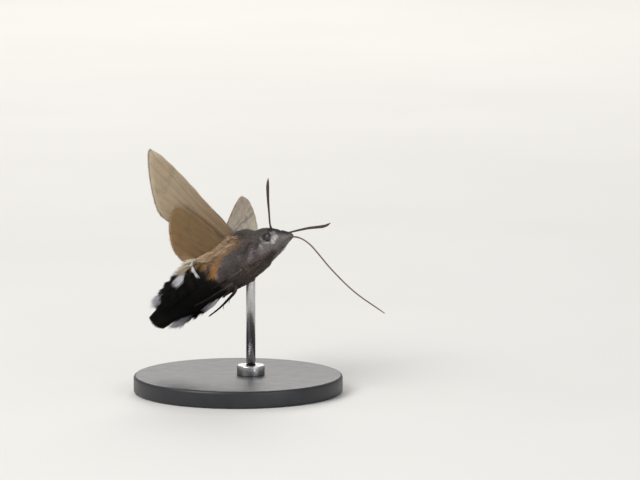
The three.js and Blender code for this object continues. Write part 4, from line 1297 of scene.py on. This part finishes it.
def wing_finish(name, stops, lines, rim, cream=None):
    """Scaled membrane. stops are (share of the span, colour), lines are (share, width, depth) of dark
    wavy bands across it, rim is (colour, width) along the outer margin, cream a band near the body."""
    material, tree, shader = finish(name, Roughness=0.62, Specular_IOR_Level=0.25, Sheen_Weight=0.15,
                                    Subsurface_Weight=0.35, Subsurface_Scale=0.0006)
    shader.inputs["Subsurface Radius"].default_value = (1.0, 0.62, 0.35)
    plan, rays = (wire(tree, "ShaderNodeUVMap", {}, uv_map=name).outputs[0] for name in ("plan", "rays"))
    parts, ray = (wire(tree, "ShaderNodeSeparateXYZ", {0: place}).outputs for place in (plan, rays))
    drift = between(tree, noise(tree, plan, 9.0, 3.0), -0.035, 0.035)
    span = maths(tree, "ADD", parts[0], drift)
    bands = wire(tree, "ShaderNodeValToRGB", {"Fac": span})
    while len(bands.color_ramp.elements) < len(stops):
        bands.color_ramp.elements.new(0.5)
    for element, (spot, tint) in zip(bands.color_ramp.elements, stops):
        element.position = spot
        element.color = (*tint, 1.0)
    colour = bands.outputs[0]
    curl = maths(tree, "SINE", maths(tree, "MULTIPLY", parts[1], 42.0))
    wavy = maths(tree, "MULTIPLY_ADD", curl, 0.012, span)
    for spot, width, depth in lines:
        away = maths(tree, "ABSOLUTE", maths(tree, "SUBTRACT", wavy, spot))
        share = between(tree, away, depth, 0.0, width * 0.3, width)
        colour = mixed(tree, share, colour, (0.03, 0.024, 0.02))
    shore = between(tree, maths(tree, "ADD", ray[1], drift), 0.0, 0.85, 1 - rim[1], 1.0)
    colour = mixed(tree, shore, colour, rim[0])
    if cream is not None:
        shore = between(tree, maths(tree, "ADD", ray[0], drift), 0.0, 0.9, cream[1], cream[2])
        colour = mixed(tree, shore, colour, cream[0])
    vein = wire(tree, "ShaderNodeAttribute", {}, attribute_name="vein").outputs["Fac"]
    colour = mixed(tree, between(tree, vein, 0.0, 0.32, 0.2, 0.9), colour, (0.07, 0.05, 0.035))
    # rows of scales and worn patches each darken the colour a little
    rows = wire(tree, "ShaderNodeVectorMath", {0: rays, 1: (420.0, 130.0, 1.0)}, operation="MULTIPLY")
    scales = wire(tree, "ShaderNodeTexVoronoi", {"Vector": rows.outputs[0], "Scale": 1.0}, feature="F1")
    grain = between(tree, scales.outputs["Distance"], 0.0, 0.35, 0.25, 0.8)
    worn = between(tree, noise(tree, plan, 60.0, 4.0, 0.7), 0.0, 0.3)
    for share, shade in ((grain, (0.55, 0.55, 0.55)), (worn, (0.6, 0.58, 0.55))):
        colour = mixed(tree, share, colour, mixed(tree, 1.0, colour, shade, "MULTIPLY"))
    tree.links.new(colour, shader.inputs["Base Color"])
    bump(tree, shader, scales.outputs["Distance"], 0.02, 0.6)
    return material


BEIGE = paint("8d7a5f")
BEIGE_OUTER = paint("a1937a")
BROWN_INNER = paint("7a6142")
RUSSET = paint("79603c")
GREY_BROWN = paint("b0a794")
GREY_DARK = paint("8b8172")
PEACH = paint("d6b898")
HOT_ORANGE = paint("b8712c")
RUST_EDGE = paint("5f4026")

fore_upper = wing_finish(
    "forewing_upper",
    ((0.1, GREY_DARK), (0.35, GREY_BROWN), (0.6, GREY_BROWN * 0.9), (1.0, GREY_DARK)),
    ((0.34, 0.03, 0.5), (0.72, 0.035, 0.5), (0.79, 0.02, 0.25)), (GREY_DARK, 0.1))
fore_under = wing_finish(
    "forewing_under",
    ((0.1, BROWN_INNER), (0.4, BEIGE), (0.75, BEIGE_OUTER * 0.95), (1.0, BEIGE_OUTER)),
    ((0.8, 0.03, 0.14),), (GREY_BROWN, 0.07))
hind_upper = wing_finish(
    "hindwing_upper", ((0.1, RUST_EDGE), (0.3, HOT_ORANGE), (0.6, HOT_ORANGE)), (), (RUST_EDGE, 0.22))
hind_under = wing_finish(
    "hindwing_under", ((0.1, RUSSET), (0.32, RUSSET * 0.85), (0.62, RUSSET)),
    ((0.47, 0.02, 0.15),), (BROWN_INNER, 0.12), (PEACH, 0.7, 0.96))

for _, label in SIDES:
    wing_piece("forewing", FOREWING, label, [fore_upper, fore_under])
    wing_piece("hindwing", HINDWING, label, [hind_upper, hind_under])


# Wing fringes
# Hair scales stand side by side along each outer and inner margin like the fringe of a cloth.
# They point outwards in the plane of the wing, with lengths that vary at random.
FRINGE_STEP = 0.045
FRINGE_LENGTH = 0.62
FRINGE_WIDTH = 0.055
FRINGE_THICK = 0.022
FRINGE_SEED = 7
# How far each scale is rooted inside the margin, and how far it leans along it
FRINGE_ROOT = 0.12
FRINGE_LEAN = 0.25
FRINGE_STEPS = 24


def fringe_tree():
    """Geometry Nodes: one flat pointed scale on each guide point, turned to its reach and face."""
    inputs = (("Length", "Float"), ("Width", "Float"), ("Thickness", "Float"), ("Seed", "Int"))
    tree, given = start_tree("wing_fringe", inputs)
    spots = wire(tree, "GeometryNodeMeshToPoints", {"Mesh": given["Guide"]}).outputs[0]
    cone = {"Vertices": 4, "Side Segments": 2, "Radius Top": 0.0, "Radius Bottom": 1.0, "Depth": 1.0}
    scale = wire(tree, "GeometryNodeMeshCone", cone).outputs[0]
    aims = {0: stored(tree, "reach", "FLOAT_VECTOR"), 1: stored(tree, "facing", "FLOAT_VECTOR")}
    turn = wire(tree, "FunctionNodeAxesToRotation", aims).outputs[0]
    vary = wire(tree, "FunctionNodeRandomValue", {2: 0.7, 3: 1.15, "Seed": given["Seed"]}, data_type="FLOAT")
    length = maths(tree, "MULTIPLY", given["Length"], vary.outputs[1])
    size = wire(tree, "ShaderNodeCombineXYZ", {0: given["Thickness"], 1: given["Width"], 2: length})
    feeds = {"Points": spots, "Instance": scale, "Rotation": turn, "Scale": size.outputs[0]}
    end_tree(tree, wire(tree, "GeometryNodeInstanceOnPoints", feeds).outputs[0], given)
    return tree


wing_fringe = fringe_tree()


def fringe_finish(name, tint, other):
    """Plain matt hair scales in two mingled colours."""
    material, tree, shader = finish(name, Roughness=0.65, Specular_IOR_Level=0.25)
    mottle(tree, shader, (3.0, 3.0), tint, other)
    return material


def plan_spots(flat):
    """Places on a bake map laid out like the wing's plan."""
    return flat / 26 + (0.12, 0.2)


fringe_colours = {
    "forewing": fringe_finish("fringe_grey", paint("6f6250"), paint("94846a")),
    "hindwing": fringe_finish("fringe_rust", paint("6b4c2f"), paint("a58a66")),
}
for slot, plan in (("forewing", FOREWING), ("hindwing", HINDWING)):
    for _, label in SIDES:
        shares = np.linspace(*plan["fringe"], 1400)
        tips = wing_rays(plan, shares, FRINGE_STEPS)[:, -1]
        run = np.concatenate([[0], np.cumsum(np.linalg.norm(np.diff(tips, axis=0), axis=1))])
        even = np.interp(np.arange(0, run[-1], FRINGE_STEP), run, shares)
        rays_here = wing_rays(plan, even, FRINGE_STEPS)
        tip = rays_here[:, -1]
        along_edge = unit(np.gradient(tip, axis=0))
        outward = np.stack([along_edge[:, 1], -along_edge[:, 0]], -1)
        outward *= np.sign(np.sum(outward * (tip - rays_here[:, -6]), -1))[:, None]
        way = unit(outward + along_edge * FRINGE_LEAN)
        height = sheet_height(plan, tip[:, 0], tip[:, 1])
        root, axes = wing_axes(f"{slot}_{label}")
        points = np.column_stack([tip - way * FRINGE_ROOT, height]) @ axes + root
        reach = np.column_stack([way, np.zeros(len(way))]) @ axes
        aims = {"reach": reach, "facing": axes[2]}
        aims = {key: (placed(points + aim) - placed(points)) / MM for key, aim in aims.items()}
        guide = guide_for(points, [], "FLOAT_VECTOR", "vector", aims)
        fringe = run_tree(f"{slot}_fringe_{label}", wing_fringe, guide, {
            "Length": FRINGE_LENGTH * MM, "Width": FRINGE_WIDTH * MM, "Thickness": FRINGE_THICK * MM,
            "Seed": FRINGE_SEED, "Finish": fringe_colours[slot],
        })
        # the cone's own map makes way for one with a small patch for each scale
        while fringe.data.uv_layers:
            fringe.data.uv_layers.remove(fringe.data.uv_layers[0])
        which, corner = np.divmod(corner_points(fringe), len(fringe.data.vertices) // len(points))
        patch = np.stack([corner % 3, corner // 3], -1) / 3 - 0.5
        write_map(fringe, "OFBake", plan_spots(tip)[which] + patch * BAKE_PATCH)
        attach(fringe, "root")


# Hair at the wing roots
# A long-haired flap lies over the root of each forewing. Peach hair clothes the hindwing's inner
# edge, and a band of it runs on along the flank from there.
FLAP_COUNT = 900
FLAP_X = (21.0, 23.8)
# Degrees from the back: the middle and the spread
FLAP_FOLD = (45, 13)
FLAP_ROOT = 0.35
FLAP_LENGTHS = (1.3, 2.2)
FLAP_WIDTHS = (0.13, 0.2)
FLAP_THICK = 0.05
INNER_HAIR = 900
# Share of the margin and steps along its rays, of 60, that the inner hair grows on
INNER_SHARES = (0.8, 0.998)
INNER_STEPS = (12, 55)
INNER_RAY = 60
INNER_LENGTHS = (0.9, 1.9)
INNER_WIDTHS = (0.08, 0.15)
INNER_THICK = 0.035
BAND_COUNT = 1700
BAND_LENGTHS = (1.1, 2.1)
BAND_WIDTHS = (0.09, 0.16)
BAND_THICK = 0.04
# x, degrees from the back and height over the coat of the band's middle
BAND = ((22.0, 60, 0.1), (20.7, 68, 0.15), (19.2, 76, 0.15), (17.4, 75, 0.25), (15.5, 68, 0.45),
        (14.0, 60, 0.7))
# Share of the peach hairs that are ochre instead
OCHRE_SHARE = 0.3


def peach_tint(low, high, count):
    """Peach hairs, from dark to light, with ochre ones among them."""
    tint = PEACH * varied(low, high, count)
    return np.where(varied(0, 1, count) < OCHRE_SHARE, OCHRE * 1.1, tint)


for side, label in SIDES:
    x = random.uniform(*FLAP_X, FLAP_COUNT)
    angle = flank_angle(random.normal(*FLAP_FOLD, FLAP_COUNT), side)
    here, back, down, out = surface(x, angle, -FLAP_ROOT)
    way = swung(back, down, random.normal(0.1, 0.16, FLAP_COUNT))
    way = unit(way + out * varied(0.12, 0.42, FLAP_COUNT))
    reach = random.uniform(*FLAP_LENGTHS, FLAP_COUNT)
    tint = coat_colour(x, angle) * varied(0.8, 1.3, FLAP_COUNT)
    width = random.uniform(*FLAP_WIDTHS, FLAP_COUNT)
    # darker roots and lighter tips: painted shade and painted light
    lay_locks(f"wing_flap_{label}", brown_coat, here, way, out, (reach, width, FLAP_THICK),
              -out * 0.3, (tint * 0.6, tint * 1.1), unwrap(x, angle))

    root, axes = wing_axes(f"hindwing_{label}")
    share = random.uniform(*INNER_SHARES, INNER_HAIR)
    rays_here = wing_rays(HINDWING, np.sort(share), INNER_RAY)
    step = random.integers(*INNER_STEPS, INNER_HAIR)
    spot = rays_here[np.arange(INNER_HAIR), step]
    ahead = unit(rays_here[np.arange(INNER_HAIR), step + 4] - spot)
    height = sheet_height(HINDWING, spot[:, 0], spot[:, 1]) - MEMBRANE / 2 + 0.02
    here = np.column_stack([spot, height]) @ axes + root
    way = np.column_stack([ahead + (0, 0.25), random.uniform(-0.5, -0.12, INNER_HAIR)]) @ axes
    tint = peach_tint(0.65, 1.15, INNER_HAIR)
    reach = random.uniform(*INNER_LENGTHS, INNER_HAIR)
    width = random.uniform(*INNER_WIDTHS, INNER_HAIR)
    lower_side, bow = (np.broadcast_to(axes[2] * share, here.shape) for share in (-1, 0.25))
    # darker roots and lighter tips: painted shade and painted light
    lay_locks(f"hindwing_hair_{label}", brown_coat, here, way, lower_side,
              (reach, width, INNER_THICK), bow, (tint * 0.75, tint * 1.1), plan_spots(spot))

    spot = random.uniform(0, len(BAND) - 1, BAND_COUNT)
    x, fold, lift = (np.interp(spot, range(len(BAND)), column) for column in zip(*BAND))
    angle = flank_angle(fold + random.normal(0, 8, BAND_COUNT), side)
    here, back, down, out = surface(x, angle, 0.4 * lift - 0.25)
    way = back - down * random.normal(0.16, 0.1, BAND_COUNT)[:, None]
    way = way + out * varied(0.1, 0.34, BAND_COUNT)
    reach = random.uniform(*BAND_LENGTHS, BAND_COUNT)
    tint = peach_tint(0.45, 1.15, BAND_COUNT)
    width = random.uniform(*BAND_WIDTHS, BAND_COUNT)
    # darker roots and lighter tips: painted shade and painted light
    lay_locks(f"flank_hair_{label}", brown_coat, here, way, out,
              (reach, width, BAND_THICK), -out * 0.2, (tint * 0.7, tint * 1.1), unwrap(x, angle))


# Floor, light and camera
# A plain pale floor and large soft lamps, with the camera at the photo's angle: to the moth's right,
# a little over its level, and far off with a long lens.
VIEW_AZIMUTH = math.radians(17.2)
VIEW_ELEVATION = math.radians(8.0)
VIEW_DISTANCE = 900.0
PHOTO_WIDTH = 640
PIXELS_A_MM = 5.8
SENSOR = 36.0
# From the tail's tip to the middle of the photo, in millimetres to the right and up
FRAME_RIGHT = 28.47
FRAME_UP = 14.64
FLOOR_HALF = 3.0
MOTH_MIDDLE = Vector((0.0, 0.0, 0.028))
# Place, size, power and colour of each lamp
LAMPS = {
    "key_lamp": ((-0.35, -0.55, 0.62), 0.5, 6.0, (1.0, 0.98, 0.95)),
    "fill_lamp": ((0.75, -0.5, 0.3), 0.6, 2.6, (0.95, 0.97, 1.0)),
    "back_lamp": ((-0.25, 0.75, 0.55), 0.5, 4.0, (1.0, 0.97, 0.92)),
}

floor_finish, tree, shader = finish("pale_floor", Roughness=0.75, Specular_IOR_Level=0.2)
mottle(tree, shader, (0.01, 3.0), (0.68, 0.67, 0.64), (0.71, 0.70, 0.67))
corners = [(x * FLOOR_HALF, y * FLOOR_HALF, 0) for x, y in ((-1, -1), (1, -1), (1, 1), (-1, 1))]
floor = mesh_piece("floor", corners, [np.array([(0, 1, 2, 3)])], [floor_finish], smooth=False)

world = bpy.data.worlds.new("studio")
bpy.context.scene.world = world
world.use_nodes = True
world.node_tree.nodes["Background"].inputs["Color"].default_value = (0.93, 0.95, 1.0, 1.0)
world.node_tree.nodes["Background"].inputs["Strength"].default_value = 0.45

for name, (place, size, power, colour) in LAMPS.items():
    light = bpy.data.lights.new(name, "AREA")
    light.shape = "SQUARE"
    light.size = size
    light.energy = power
    light.color = colour
    lamp = in_scene(name, light)
    lamp.location = place
    lamp.rotation_euler = (MOTH_MIDDLE - Vector(place)).to_track_quat("-Z", "Y").to_euler()

level = math.cos(VIEW_ELEVATION)
back_way = Vector((math.sin(VIEW_AZIMUTH) * level, -math.cos(VIEW_AZIMUTH) * level,
                   math.sin(VIEW_ELEVATION)))
right_way = Vector((math.cos(VIEW_AZIMUTH), math.sin(VIEW_AZIMUTH), 0.0))
up_way = back_way.cross(right_way)
aim = Vector(TAIL_AT) + right_way * FRAME_RIGHT + up_way * FRAME_UP
camera_data = bpy.data.cameras.new("camera")
camera_data.sensor_width = SENSOR
camera_data.lens = PIXELS_A_MM * VIEW_DISTANCE / PHOTO_WIDTH * SENSOR
camera_data.clip_start = 0.05
camera_data.clip_end = 20.0
camera = in_scene("camera", camera_data)
camera.location = (aim + back_way * VIEW_DISTANCE) * MM
camera.rotation_euler = (-back_way).to_track_quat("-Z", "Y").to_euler()
bpy.context.scene.camera = camera
bpy.context.scene.view_settings.view_transform = "Standard"
